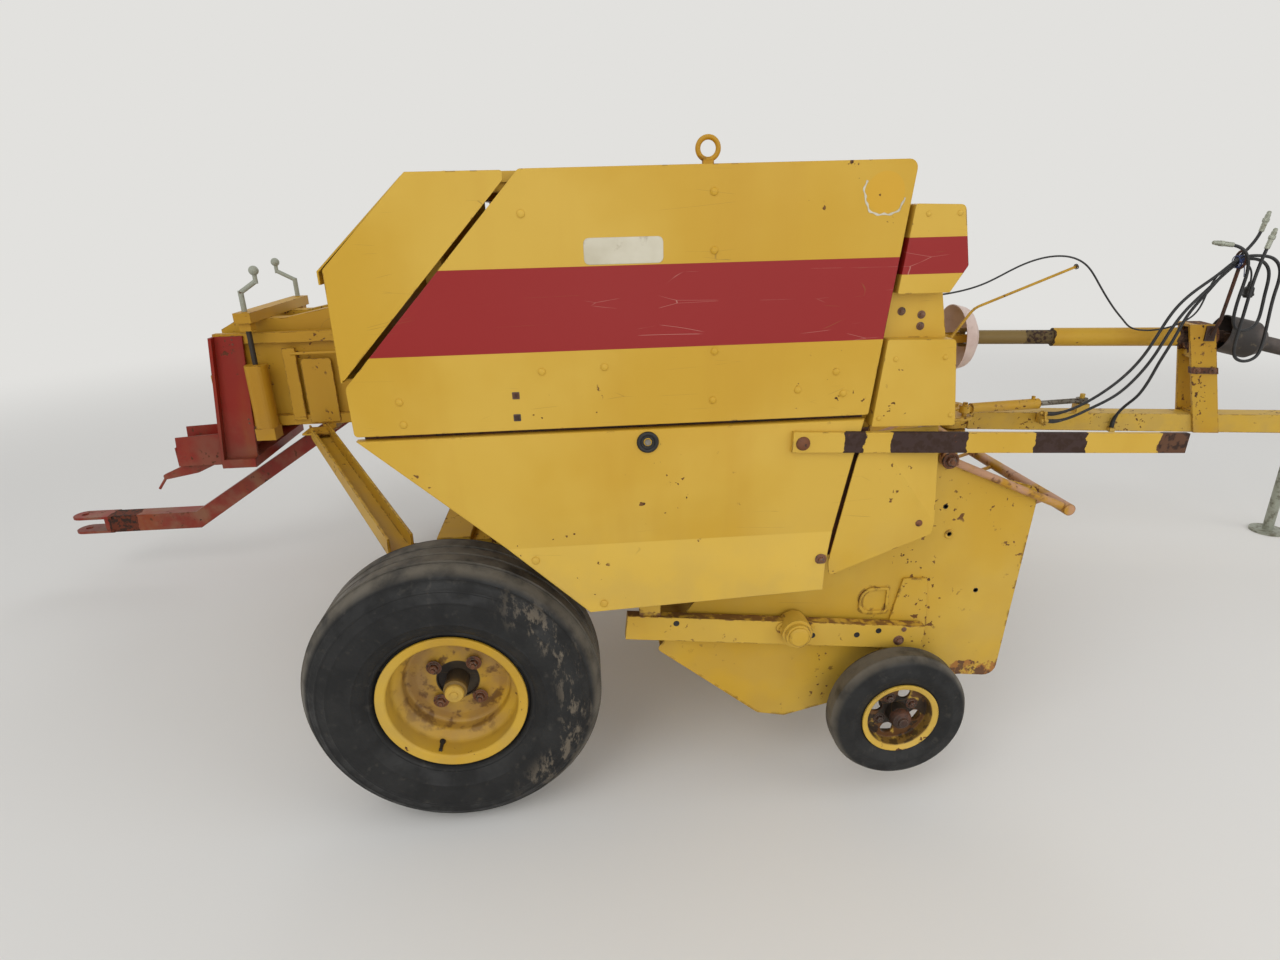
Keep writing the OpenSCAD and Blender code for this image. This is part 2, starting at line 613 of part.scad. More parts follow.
module needles() {
    // Two curved needles on a yoke that hangs from pivots on the chamber sides
    color("#7a6f5c") {
        for (y = needle_y) plate_y(y - 7, 14)
            polygon(concat(arc(yoke, yoke_r + 16, 236, 192, 10), arc(yoke, yoke_r - 12, 195, 236, 10)));
        for (y = [near_y - 16, far_y + 2]) plate_y(y, 14) polygon(soften([
            [yoke[0] - 24, yoke[1] + 14, 12], [yoke[0] - yoke_r * cos(56) - 26,
                yoke[1] - yoke_r * sin(56) + 4, 12],
            [yoke[0] - yoke_r * cos(56) + 8, yoke[1] - yoke_r * sin(56) - 24, 12],
            [yoke[0] + 24, yoke[1] - 8, 12]
        ]));
        rod_y(yoke[0] - yoke_r * cos(56), yoke[1] - yoke_r * sin(56), [near_y - 16, far_y + 16], 22);
        for (y = [near_y - 16, far_y - 14]) rod_y(yoke[0], yoke[1], [y, y + 30],
            floor_z - 20 - seat_gap - yoke[1]);
    }
}

// Feeder: floor, curved back sheet and roof between the pickup and the chamber mouth
feed_y = [100, near_y - seat_gap];
feed_back = 250;
feed_roof = 1400;
module feeder_housing() {
    color("#cda637") difference() {
        union() {
            block([feed_back, 940], feed_y, [floor_z - 6, floor_z]);
            plate_y(feed_y[0], feed_y[1] - feed_y[0]) strip(concat(
                [[feed_back + 20, floor_z - 3]], arc([feed_back + 120, floor_z + 120], 120, 215, 180, 5),
                [[feed_back, feed_roof - 120]], arc([feed_back + 120, feed_roof - 120], 120, 175, 95, 5),
                [[1000, feed_roof], [1080, feed_roof - 60]]
            ), 4);
            plate_y(feed_y[0], 4) polygon([
                [feed_back, floor_z - 6], [940, floor_z - 6], [960, 1000], [1080, feed_roof - 60],
                [1000, feed_roof],
                [feed_back + 100, feed_roof], [feed_back, feed_roof - 100]
            ]);
            plate_y(feed_y[1] - 4, 4) polygon([
                [feed_back, roof_z], [1040, roof_z], [1080, feed_roof - 60], [1000, feed_roof],
                [feed_back + 100, feed_roof], [feed_back, feed_roof - 100]
            ]);
            for (x = [300, 700]) block([x, x + 60], feed_y, [beam_top - 30, floor_z - 5]);
            for (y = [right_leg_y + 20, 900]) block([beam_h / 2 + seat_gap, 742], [y, y + 80],
                [beam_top - 70, beam_top - 20]);
            rod_x(rotor_y, rotor_z, [feed_back - 24, feed_back + 10], 52);
        }
        rod_x(rotor_y, rotor_z, [feed_back - 40, feed_back + 40], 28 + run_gap);
    }
}
rotor_y = 860;
rotor_z = 1120;
rotor_r = 250;
module feeder_rotor() {
    // Three rows of feeder teeth on a shaft along the machine
    color("#8a7a4c") {
        rod_x(rotor_y, rotor_z, [feed_back - 16, 930], 28);
        for (x = [380, 560, 740, 880]) for (a = [0:120:240])
            translate([x - 9, rotor_y, rotor_z]) rotate([a, 0, 0]) plate_x(0, 18) polygon(soften([
                [-14, 16, 0], [20, 16, 0], [34, 150, 20], [60, rotor_r - 8, 10], [34, rotor_r - 8, 10],
                [-8, 150, 20]
            ]));
    }
}

// Square-tube frame that carries the shields and the deck
deck_y = 42;
frame_y = deck_y + sheet_t + seat_gap;
frame_x = [60, 1120];
tube = 40;
frame_top = deck_z - sheet_t - seat_gap;
post_foot = 1030;
module cover_frame() {
    color("#c39b33") {
        for (x = frame_x) {
            block([x, x + tube], [near_y - 60, near_y - 20], [roof_z, frame_top]);
            block([x, x + tube], [near_y - 60, near_y - seat_gap], [roof_z, roof_z + 36]);
            block([x, x + tube], [frame_y, near_y - 20], [frame_top - tube, frame_top]);
        }
        block([frame_x[0], frame_x[0] + tube], [frame_y, frame_y + tube], [post_foot, frame_top]);
        block([frame_x[1], frame_x[1] + tube], [frame_y, frame_y + tube], [1100, frame_top]);
        for (y = [frame_y, near_y - 60])
            block([frame_x[0], frame_x[1] + tube], [y, y + tube], [frame_top - tube, frame_top]);
        block([frame_x[0], frame_x[1] + tube], [frame_y, frame_y + tube], [seam_z - 60, seam_z - 20]);
        block([1000, frame_x[1] + tube], [frame_y, feed_y[0] - seat_gap], [feed_roof - 56, feed_roof - 16]);
        block([540, 600], [frame_y, frame_y + tube], [beam_top - 50, seam_z - 20]);
        block([540, 600], [frame_y, feed_y[0] - seat_gap], [beam_top - 50, floor_z]);
        block([beam_h / 2 + seat_gap, frame_x[0] + tube], [420, 470], [beam_top - 90, post_foot + tube]);
        block([frame_x[0], frame_x[0] + tube], [frame_y, 470], [post_foot, post_foot + tube]);
        // Lugs and pins of the side shield's hinges
        for (x = hinge_at) {
            for (e = [x - 12, x + knuckle_l + 4])
                block([e, e + 8], [hinge_line[0] - 6, frame_y + 1], [hinge_line[1] - 6, hinge_line[1] + 5.5]);
            rod_x(hinge_line[0], hinge_line[1], [x - 12, x + knuckle_l + 12], 5);
        }
    }
}
// Channel on the right that carries the pickup hinge, nose down
rail_x = [500, 1385];
rail_y = [54, 86];
rail_low = hinge_z - 53;
rail_top = hinge_z + 22;
rail_tilt = 6.4;
module tilted() translate([hinge_x, 0, hinge_z]) rotate([0, rail_tilt, 0])
    translate([-hinge_x, 0, -hinge_z]) children();
module side_rail() {
    color("#dcb544") difference() {
        union() {
            tilted() difference() {
                block(rail_x, rail_y, [rail_low, rail_top]);
                block([rail_x[0] + 6, rail_x[1] - 6], [rail_y[0] + 6, rail_y[1] + 1],
                    [rail_low + 6, rail_top - 6]);
            }
            rod_y(hinge_x, hinge_z, [rail_y[0] - 30, rail_y[1] - 1], 44);
            rod_y(hinge_x, hinge_z, [rail_y[0] - 44, rail_y[0] - 26], 36);
            block([540, 600], [rail_y[0] + 8, rail_y[1] - 1], [hinge_z + 61, beam_top - 50 - seat_gap]);
        }
        rod_y(hinge_x, hinge_z, [rail_y[0] - 20, rail_y[1] + 5], hinge_r + run_gap);
    }
}
hinge_r = 20;
module hinge_bracket() {
    // Plate under the chamber that carries the left end of the pickup hinge
    color("#c9a03a") difference() {
        plate_y(near_y + 3, 18) polygon(soften([
            [hinge_x - 90, floor_z - 20 - seat_gap, 0], [hinge_x - 48, hinge_z - 46, 44],
            [hinge_x + 48, hinge_z - 46, 44], [hinge_x + 90, floor_z - 20 - seat_gap, 0]
        ]));
        rod_y(hinge_x, hinge_z, [near_y - 20, near_y + 60], hinge_r + run_gap);
    }
}

// Shields and covers on the right side, outlines as [x, z, corner radius]
shield_outline = [
    [295, deck_z + 2, 12], [1201, deck_z + 6, 20], [1132, seam_z + seam_gap, 6],
    [-145, seam_z + seam_gap, 10],
    [-148, 1332, 20]
];
hinge_line = [16, deck_z - 14];
hinge_at = [380, 1000];
knuckle_l = 90;
module side_shield() {
    color("#dcb94a") difference() {
        union() {
            panel(shield_outline, 0);
            for (x = hinge_at) {
                rod_x(hinge_line[0], hinge_line[1], [x, x + knuckle_l], 10);
                block([x, x + knuckle_l], [sheet_t - 1, hinge_line[0]],
                    [hinge_line[1] - 6, hinge_line[1] + 6]);
            }
        }
        for (x = hinge_at) {
            rod_x(hinge_line[0], hinge_line[1], [x - 1, x + knuckle_l + 1], 5 + run_gap);
            for (e = [x - 16, x + knuckle_l])
                block([e, e + 16], [sheet_t + 1, hinge_line[0] + 40],
                    [hinge_line[1] - 20, hinge_line[1] + 40]);
        }
    }
}
fixed_fold = frame_y - seat_gap;
lower_outline = [
    [-145, seam_z - 4, 10], [1126, seam_z - 4, 6], [1104, 1095, 10], [1046, 802, 30], [1040, 724, 10],
    [401, 700, 20]
];
module lower_shield() color("#dcb94a") panel(lower_outline, 0, fixed_fold);
twine_y = 1380;
twine_back = -156;
module rear_cover() {
    // Twine box behind the side shield: right side, back, floor and left end
    color("#dcb94a") {
        plate_y(0, sheet_t) polygon(soften([
            [50, deck_z, 6], [260, deck_z, 6], [260, 1782, 6], [twine_back, 1342, 6], [twine_back, 1603, 10]
        ]));
        block([twine_back, twine_back + sheet_t], [0, twine_y], [1345, 1590]);
        block([twine_back, frame_x[0] - seat_gap], [fold_w + 5, twine_y], [1345, 1345 + sheet_t]);
        plate_y(twine_y - sheet_t, sheet_t) polygon([
            [twine_back, 1345], [frame_x[0] - seat_gap, 1345], [frame_x[0] - seat_gap, deck_z - 6],
            [28, deck_z - 6], [twine_back, 1560]
        ]);
    }
}
door_line = [44, deck_z - 14];
module twine_door() {
    // Sloping door of the twine box, hinged along its upper edge
    color("#d9b23a") {
        plate_y(10, twine_y - 20) strip([
            [door_line[0] - 2, door_line[1] + 4], [-168, 1598], [-168, 1570]
        ], -sheet_t);
        rod_y(door_line[0], door_line[1], [sheet_t + seat_gap, twine_y - sheet_t - seat_gap], 7);
    }
}
module top_deck() {
    // Deck sheet with a short skirt on the right and front and a deep one on the left
    deck_x = [62, 1190];
    deck_left = near_y - 20 + seat_gap + sheet_t;
    color("#dcb94a") {
        block(deck_x, [deck_y, deck_left], [deck_z - sheet_t, deck_z]);
        difference() {
            block(deck_x, [deck_y, deck_y + sheet_t], [deck_z - 24, deck_z]);
            for (x = hinge_at)
                block([x - 20, x + knuckle_l + 20], [deck_y - 1, deck_y + sheet_t + 1],
                    [deck_z - 40, deck_z - sheet_t]);
        }
        block(deck_x, [deck_left - sheet_t, deck_left], [feed_roof + 12, deck_z]);
        block([deck_x[1] - sheet_t, deck_x[1]], [deck_y, deck_left], [deck_z - 24, deck_z]);
    }
}
cover_z = [1399, 1508];
module front_cover() {
    // Upper and lower covers round the right front corner and the sheet above the pickup
    color("#dcb94a") {
        panel([[1204, 1712, 6], [1324, 1708, 14], [1348, 1570, 10], [1309, cover_z[1], 6],
            [1180, cover_z[1], 4]], 0, fixed_fold);
        panel([[1167, cover_z[0], 6], [1341, cover_z[0] - 5, 10], [1366, 1172, 6], [1144, 1178, 4]], 0,
            fixed_fold);
        plate_y(fixed_fold - 8, sheet_t) difference() {
            polygon([[1180, cover_z[1] + 3], [1309, cover_z[1] + 3], [1332, cover_z[0] - 8],
                [1167, cover_z[0] - 8]]);
            for (p = [[1210, 1462], [1262, 1452], [1262, 1424]]) translate(p) circle(r = 6, $fn = 16);
        }
        block([1200, 1200 + sheet_t], [fixed_fold - sheet_t, near_y - 16], [1240, 1720]);
        block([frame_x[1] + tube + seat_gap, 1201], [frame_y, 120], [1260, 1290]);
        block([frame_x[1] + tube + seat_gap, 1201], [near_y - 60, near_y - 20], [1260, 1290]);
    }
}
crease = [[1152, 1165], [1343, 895]];
crease_turn = 13;
module corner_plate() {
    // Plate between the lower shield and the pickup; its front corner is bent in along the crease
    d = crease[1] - crease[0];
    color("#dcb94a") {
        plate_y(0, sheet_t) polygon(soften([
            [1136, 1165, 4], [crease[0][0], crease[0][1], 0], [crease[1][0], crease[1][1], 0], [1338, 866, 6],
            [1060, 757, 8], [1056, 800, 10], [1114, 1095, 10]
        ]));
        translate([crease[0][0], 0, crease[0][1]]) rotate(-crease_turn, [d[0], 0, d[1]])
            translate([-crease[0][0], 0, -crease[0][1]])
            plate_y(0, sheet_t) polygon([[crease[0][0] - 1, crease[0][1]], [1343, 1165], [1346, 1092],
                crease[1]]);
        block([1145, 1158], [sheet_t - 1, frame_y - seat_gap], [1104, 1140]);
    }
}
rail_from = [938, 1177];
rail_l = 1075;
rail_fall = 2.9;
module guard_rail() {
    color("#d9b23a") translate([rail_from[0], 0, rail_from[1]]) rotate([0, rail_fall, 0]) difference() {
        block([0, rail_l], [-14, -seat_gap], [-54, 0]);
        block([12, rail_l + 5], [-8, 1], [-47, -7]);
    }
}
eye_x = 885;
eye_y = 1000;
module lifting_eye() {
    color("#b98f2c") {
        translate([eye_x, eye_y, deck_z + 108]) rotate([90, 0, 0]) rotate_extrude() translate([36, 0])
            circle(r = 9);
        block([eye_x - 20, eye_x + 20], [eye_y - 8, eye_y + 8], [deck_z + seat_gap, deck_z + 78]);
    }
}

// Pickup: end sheets, pan, strippers and the tine reel
end_outline = [
    [1376, 1082, 20], [1432, 1082, 20], [1450, 1016, 8], [1697, 944, 40], [1652, 316, 36], [1533, 330, 30],
    [1130, 258, 30], [985, 222, 20], [900, 240, 20], [592, 491, 12], [700, 640, 20], [1180, 1030, 20]
];
end_t = 4;
module pickup_ends() {
    color("#d0a02e") {
        for (y = [pickup_y - end_t, pickup_far]) difference() {
            plate_y(y, end_t) polygon(soften(end_outline));
            rod_y(reel_x, reel_z, [y - 5, y + end_t + 5], 30);
        }
        // Pocket for the height stop on the right sheet
        plate_y(pickup_y - end_t - 6, 7) difference() {
            polygon(soften([[1190, 572, 30], [1282, 568, 8], [1282, 654, 8], [1196, 658, 40]]));
            polygon(soften([[1200, 581, 24], [1274, 578, 4], [1274, 646, 4], [1204, 648, 32]]));
        }
        rod_y(hinge_x, hinge_z, [rail_y[0] - 10, pickup_y - end_t + 1], hinge_r);
        rod_y(hinge_x, hinge_z, [pickup_far + end_t - 1, near_y + 30], hinge_r);
        rod_y(guard_pivot[0], guard_pivot[1], [pickup_y - end_t - 34, pickup_y - end_t + 1], 10);
        rod_y(guard_pivot[0], guard_pivot[1], [pickup_far - 34, pickup_far + 1], 10);
        for (y = [pickup_y - 1, pickup_far - 29]) difference() {
            rod_y(reel_x, reel_z, [y, y + 30], 46);
            rod_y(reel_x, reel_z, [y - 5, y + 36], 20 + run_gap);
        }
    }
}
module pickup_pan() {
    color("#c99a2c") {
        plate_y(pickup_y + seat_gap, pickup_w - 2 * seat_gap)
            strip([[600, 498], [905, 250], [983, 232], [1120, 268]], 4);
        for (p = [[760, 470], [1062, 332]])
            rod_y(p[0], p[1], [pickup_y + seat_gap, pickup_far - seat_gap], 22);
    }
}
band_line = concat(
    [[1108, 322]], arc([reel_x, reel_z], band_r, -118, 98, 20), [[1120, 760], [900, 812]]
);
module strippers() {
    color("#b98c2b") {
        for (i = [0:bands - 1])
            plate_y(pickup_y + 27 + i * band_pitch, band_w) strip(band_line, 3);
        plate_y(pickup_y + seat_gap, pickup_w - 2 * seat_gap) polygon([
            [905, 778], [960, 765], [966, 786], [900, 809]
        ]);
        plate_y(pickup_y + seat_gap, pickup_w - 2 * seat_gap) polygon([
            [1100, 326], [1112, 318], [1124, 332], [1112, 340]
        ]);
    }
}
bar_r = 112;
tine_rows = 4;
module reel() {
    color("#6b5a3a") {
        rod_y(reel_x, reel_z, [pickup_y + 4, pickup_far - 4], 20);
        for (a = [0:360 / tine_rows:359]) translate([reel_x, 0, reel_z]) rotate([0, a, 0]) {
            rod_y(bar_r, 0, [pickup_y + 40, pickup_far - 40], 14);
            for (i = [0:bands - 2])
                translate([0, pickup_y + 27 + band_w + i * band_pitch + (band_pitch - band_w) / 2, 0]) {
                    bar([bar_r, 0, 8], [tip_r - 40, 0, 18], 3.5);
                    bar([tip_r - 42, 0, 17], [tip_r - 1, 0, 4], 3.1);
                }
        }
        for (y = [pickup_y + 42, pickup_far - 52, pickup_y + pickup_w / 2 - 4])
            rod_y(reel_x, reel_z, [y, y + 10], 132);
    }
}
guard_pivot = [1404, 1050];
guard_tube = [1774, 884];
module windguard() {
    color("#c9a03a") difference() {
        union() {
            for (y = [pickup_y - end_t - 17, pickup_far - 17])
                bar([guard_pivot[0], y, guard_pivot[1]], [guard_tube[0], y, guard_tube[1]], 11);
            rod_y(guard_tube[0], guard_tube[1], [pickup_y - end_t - 34, pickup_far - 6], 17);
            rod_y(guard_pivot[0], guard_pivot[1], [pickup_y - end_t - 30, pickup_y - end_t - 6], 22);
            rod_y(guard_pivot[0], guard_pivot[1], [pickup_far - 30, pickup_far - 6], 22);
            for (i = [0:9]) let (y = pickup_y + 60 + i * 148) {
                bar([guard_tube[0], y, guard_tube[1]], [1558, y, 817], 6);
                bar([1562, y, 819], [1240, y, 830], 5);
            }
        }
        rod_y(guard_pivot[0], guard_pivot[1], [0, 2000], 10 + run_gap);
    }
}
gauge_x = 1290;
gauge_z = 298;
gauge_y = -60;
module gauge_axle() {
    color("#b98c2b") {
        rod_y(gauge_x, gauge_z, [gauge_y + 22, pickup_y - end_t - seat_gap], 14);
        rod_y(gauge_x, gauge_z, [gauge_y + gauge_w + 9, pickup_y - end_t - seat_gap], 28);
        plate_y(pickup_y - end_t - 8 - seat_gap, 8) polygon(soften([
            [gauge_x - 45, gauge_z - 42, 30], [gauge_x + 45, gauge_z - 42, 30], [gauge_x + 117, 520, 20],
            [gauge_x + 102, 678, 8], [gauge_x + 30, 682, 8], [gauge_x - 10, 500, 30]
        ]));
    }
}
module gauge_rim() {
    color("#8a6a2a") translate([gauge_x, gauge_y, gauge_z]) rotate([-90, 0, 0]) difference() {
        union() {
            rotate_extrude($fn = 72) polygon(soften([
                [114, 8, 2], [114, 16, 2], [101, 22, 3], [101, gauge_w - 22, 3], [114, gauge_w - 16, 2],
                [114, gauge_w - 8, 2],
                [96, gauge_w - 16, 3], [96, 58, 4], [30, 58, 0], [30, 50, 0], [96, 50, 4], [96, 16, 3]
            ], 3));
            translate([0, 0, 18]) cylinder(h = 80, r = 32);
        }
        translate([0, 0, 22]) cylinder(h = 100, r = 14 + run_gap);
        for (a = [20:90:359]) rotate([0, 0, a]) translate([64, 0, 40]) cylinder(h = 30, r = 19);
    }
}
module gauge_tyre() {
    color("#2b2c2d") translate([gauge_x, gauge_y, gauge_z]) rotate([-90, 0, 0]) rotate_extrude($fn = 72)
        polygon(soften([
        [101 + seat_gap, 26, 2], [118, 14, 3], [150, 0, 20], [190, 8, 20], [gauge_d / 2, 30, 8],
        [gauge_d / 2, gauge_w - 30, 8], [190, gauge_w - 8, 20], [150, gauge_w, 20], [118, gauge_w - 14, 3],
        [101 + seat_gap, gauge_w - 26, 2]
    ], 4));
}

// Drawbar frame of reference: s along the beam, t to its left
module on_drawbar() translate([pivot_x, chamber_y, 0]) rotate([0, 0, -swing]) children();
module drawbar() {
    color("#d9b23a") on_drawbar() {
        difference() {
            union() {
                block([70, drawbar_l - 150], [-drawbar_w / 2, drawbar_w / 2],
                    [drawbar_z - drawbar_h, drawbar_z]);
                rod_z(0, 0, [drawbar_z - drawbar_h, drawbar_z], 52);
                block([0, 75], [-40, 40], [drawbar_z - drawbar_h, drawbar_z]);
                for (z = [drawbar_mid - 46, drawbar_mid + 26])
                    plate_z(z, 20) polygon(soften([
                        [drawbar_l - 200, -45, 0], [drawbar_l + 50, -45, 44], [drawbar_l + 50, 45, 44],
                        [drawbar_l - 200, 45, 0]
                    ]));
            }
            rod_z(0, 0, [drawbar_z - drawbar_h - 5, drawbar_z + 5], pin_r + run_gap);
            rod_z(drawbar_l, 0, [drawbar_mid - 80, drawbar_mid + 80], hitch_hole / 2);
            rod_z(jack_s, jack_t, [drawbar_z - drawbar_h - 50, drawbar_z + 100], jack_r + run_gap);
        }
        difference() {
            union() {
                rod_z(jack_s, jack_t, [drawbar_z - drawbar_h - 40, drawbar_z + 60], jack_r + 8);
                block([jack_s - 30, jack_s + 30], [drawbar_w / 2 - 1, jack_t],
                    [drawbar_mid - 40, drawbar_mid + 40]);
            }
            rod_z(jack_s, jack_t, [drawbar_z - drawbar_h - 50, drawbar_z + 100], jack_r + run_gap);
        }
        plate_z(drawbar_z - 1, ram_z - 13 - drawbar_z - seat_gap)
            translate([ram_eye[0], ram_eye[1]]) square([60, 60], center = true);
        rod_z(ram_eye[0], ram_eye[1], [drawbar_z, ram_z + 34], ram_pin_r);
        // Bracket with the couplings of two hoses, and the elbow of the third
        plate_x(hose_s - 20, 8) polygon(soften([
            [-drawbar_w / 2 + 1, 640, 0], [-drawbar_w / 2 + 1, 684, 0], [-112, 716, 10], [-146, 716, 10],
            [-170, 680, 10], [-164, 650, 10]
        ]));
        for (p = [hose_1[0], hose_2[0]]) rod_x(p[1], p[2], [hose_s - 34, hose_s - seat_gap], 11);
        block([hose_3[0][0] - 13, hose_3[0][0] + 13], [hose_3[0][1] - 13, -drawbar_w / 2 + 1],
            [hose_3[0][2] - 22, hose_3[0][2] - seat_gap]);
    }
}
jack_s = drawbar_l - 130;
jack_t = 100;
jack_r = 24;
module jack_leg() {
    color("#4a4a46") on_drawbar() {
        rod_z(jack_s, jack_t, [10, drawbar_z + 180], jack_r);
        rod_z(jack_s, jack_t, [0, 12], 80);
        rod_z(jack_s, jack_t, [drawbar_z + 178, drawbar_z + 196], 34);
        bar([jack_s, jack_t, drawbar_z + 188], [jack_s - 120, jack_t, drawbar_z + 188], 8);
    }
}
post_low = drawbar_z - drawbar_h;
post_lean = 133;
module pedestal() {
    // Two posts that lean back to the shaft bearing, with ties between them
    high = drive_z + 67;
    near_t = -drawbar_w / 2 - 14 - seat_gap;
    color("#d0a02e") on_drawbar() difference() {
        union() {
            plate_y(near_t, 14) polygon([
                [pedestal_s - 103, high], [pedestal_s + 14, high], [pedestal_s + 14 + post_lean, post_low],
                [pedestal_s - 103 + post_lean, post_low]
            ]);
            plate_y(drawbar_w / 2 + seat_gap, 14) polygon([
                [pedestal_s - 90, high], [pedestal_s - 10, high], [pedestal_s - 45 + post_lean, post_low],
                [pedestal_s - 125 + post_lean, post_low]
            ]);
            block([pedestal_s - 100, pedestal_s + 12], [near_t, -near_t], [high - 12, high]);
            block([pedestal_s + 12, pedestal_s + 76], [near_t + 2, -near_t - 2],
                [drawbar_z + seat_gap, drawbar_z + 12]);
            block([pedestal_s - 45, pedestal_s + 30], [near_t + 2, -near_t - 2],
                [drive_z - 100, drive_z - 60]);
            rod_x(0, drive_z, [pedestal_s - 60, pedestal_s + 45], 58);
            block([pedestal_s - 45, pedestal_s + 30], [near_t + 2, -near_t - 2],
                [drive_z - 62, drive_z - 50]);
        }
        rod_x(0, drive_z, [pedestal_s - 120, pedestal_s + 80], shaft_r + run_gap);
    }
}
// Fork of a universal joint with the cross that the next fork holds
fork_w = 14;
module joint_fork(back = 70) {
    rod_y(0, 0, [-ball_r + 5, ball_r - 5], 14);
    for (a = [-90, 90]) rotate([a, 0, 0]) translate([0, 0, ball_r - 5]) cylinder(h = 5, r1 = 11, r2 = 2);
    rod_z(0, 0, [-ball_r - 4, ball_r + 4], 12.5);
    for (z = [-ball_r - fork_w, ball_r]) block([-19, back], [-20, 20], [z, z + fork_w]);
    block([back - 16, back], [-20, 20], [-ball_r - 2, ball_r + 2]);
}
sleeve_s = 430;
module driveline() {
    color("#c9a03a") on_drawbar() difference() {
        union() {
            translate([0, 0, drive_z]) joint_fork();
            rod_x(0, drive_z, [68, sleeve_s + 4], drive_d / 2 - 10);
            rod_x(0, drive_z, [sleeve_s, pedestal_s - 106], drive_d / 2);
            rod_x(0, drive_z, [pedestal_s - 110, joint_s - 60], shaft_r);
            block([joint_s - 72, joint_s + 18], [-ball_r - 14, ball_r + 14], [drive_z - 20, drive_z + 20]);
        }
        block([joint_s - 40, joint_s + 40], [-ball_r - seat_gap, ball_r + seat_gap],
            [drive_z - 40, drive_z + 40]);
    }
}
shaft_tilt = 14;
joint_s = pedestal_s + 150;
module front_shaft() {
    color("#5d5a52") on_drawbar() translate([joint_s, 0, drive_z]) rotate([0, shaft_tilt, 0]) {
        joint_fork();
        rod_x(0, 0, [68, 480], 18);
        difference() {
            rod_x(0, 0, [450, 560], 34);
            rod_x(0, 0, [490, 570], pto_r);
        }
    }
}
pto_r = 17.5;
module front_guard() {
    color("#35332f") on_drawbar() translate([joint_s, 0, drive_z]) rotate([0, shaft_tilt, 0])
        rotate([0, 90, 0])
        rotate_extrude() polygon(soften([
            [18.3, 106, 0], [56, 98, 6], [84, 62, 8], [84, -78, 0], [88, -78, 0], [88, 70, 10], [60, 112, 8],
            [36, 124, 6], [36, 430, 0], [18.3, 430, 0]
        ], 3));
}
stand = [[1120, -73.5, 1085], [1121, -86, 1110], [1123, -102, 1138], [1125, -112, 1165], [1127, -114, 1200],
    [1145, -116.5, 1400]];
ring_at = [1145, -116.5, 1438];
ring_r = 38;
ring_wire = 6;
module hose_stand() {
    // Foot plate on the outer face of the near post, bent rod and the ring that the hoses run through
    foot = -drawbar_w / 2 - 14 - 2 * seat_gap;
    color("#8d8a80") on_drawbar() {
        block([1098, 1142], [foot - 10, foot], [1058, 1130]);
        sweep(stand, 8, 16);
        translate(ring_at) rotate([0, 90, 0]) rotate_extrude() translate([ring_r, 0]) circle(r = ring_wire);
    }
}

// Hoses and cable, each a list of [s, t, z] in the drawbar's frame
hose_r = 7;
cable_r = 4;
hose_s = 420;
hose_1 = [
    [420, -128, 704], [455, -128, 704], [515, -130, 722], [590, -135, 765], [680, -135, 835],
    [755, -135, 915], [815, -135, 1010],
    [860, -135, 1120], [905, -135, 1220], [970, -135, 1300], [1060, -134, 1380], [1133, -132, 1444],
    [1205, -132, 1455], [1270, -136, 1440], [1305, -142, 1385], [1305, -145, 1285], [1305, -149, 1165],
    [1305, -153, 1055], [1285, -163, 1000], [1235, -172, 980], [1186, -181, 1000], [1164, -191, 1055],
    [1165, -195, 1167], [1168, -198, 1291], [1178, -197, 1408], [1200, -195, 1530]
];
hose_2 = [
    [420, -152, 672], [455, -152, 672], [520, -152, 691], [610, -152, 740], [710, -152, 805],
    [785, -152, 890], [845, -152, 995],
    [890, -152, 1110], [940, -150, 1210], [1015, -138, 1300], [1102, -126, 1396], [1158, -118, 1436],
    [1230, -116, 1432], [1272, -119, 1385], [1280, -121, 1285], [1280, -125, 1190], [1260, -137, 1140],
    [1210, -150, 1120], [1160, -164, 1140], [1140, -174, 1190], [1140, -180, 1300], [1143, -180, 1415],
    [1105, -178, 1487], [1020, -176, 1512]
];
hose_3 = [
    [765, -68, 620], [766, -69, 655], [779, -81, 705], [803, -100, 752], [830, -116, 795], [865, -121, 875],
    [890, -125, 960],
    [920, -124, 1040], [950, -118, 1120], [980, -113, 1195], [1025, -110, 1270], [1070, -107, 1340],
    [1113, -106, 1408], [1155, -102, 1462], [1200, -98, 1530], [1218, -97, 1600]
];
cable_1 = [
    [-357, -340, 1252], [-357, -340, 1274], [-340, -360, 1302], [-275, -401, 1320], [-170, -401, 1335],
    [-40, -377, 1370],
    [85, -350, 1430], [200, -325, 1470], [320, -300, 1475], [415, -280, 1435], [495, -261, 1345],
    [580, -249, 1240], [650, -208, 1180], [735, -134, 1130], [835, -98, 1115], [940, -88, 1135],
    [1025, -85, 1195], [1058, -78, 1292], [1090, -84, 1376], [1146, -106, 1426], [1202, -104, 1396],
    [1220, -100, 1318]
];
module hose_1() color("#26272a") on_drawbar() sweep(hose_1, hose_r, 8);
module hose_2() color("#26272a") on_drawbar() sweep(hose_2, hose_r, 8);
module hose_3() color("#26272a") on_drawbar() sweep(hose_3, hose_r, 8);
module cable_1() color("#26272a") on_drawbar() sweep(cable_1, cable_r, 8);
wand = [[1957, 1500, 924], [2185, 1500, 1244], [2200, 1500, 1259], [2218, 1500, 1269], [2655, 1500, 1432]];
module cable_arm() {
    // Bent rod on the chamber's front post that the cable arches over
    color("#c9a03a") {
        block([1940, 1978], [1484, near_y - seat_gap], [918, 930]);
        sweep(wand, 6, 16);
    }
}

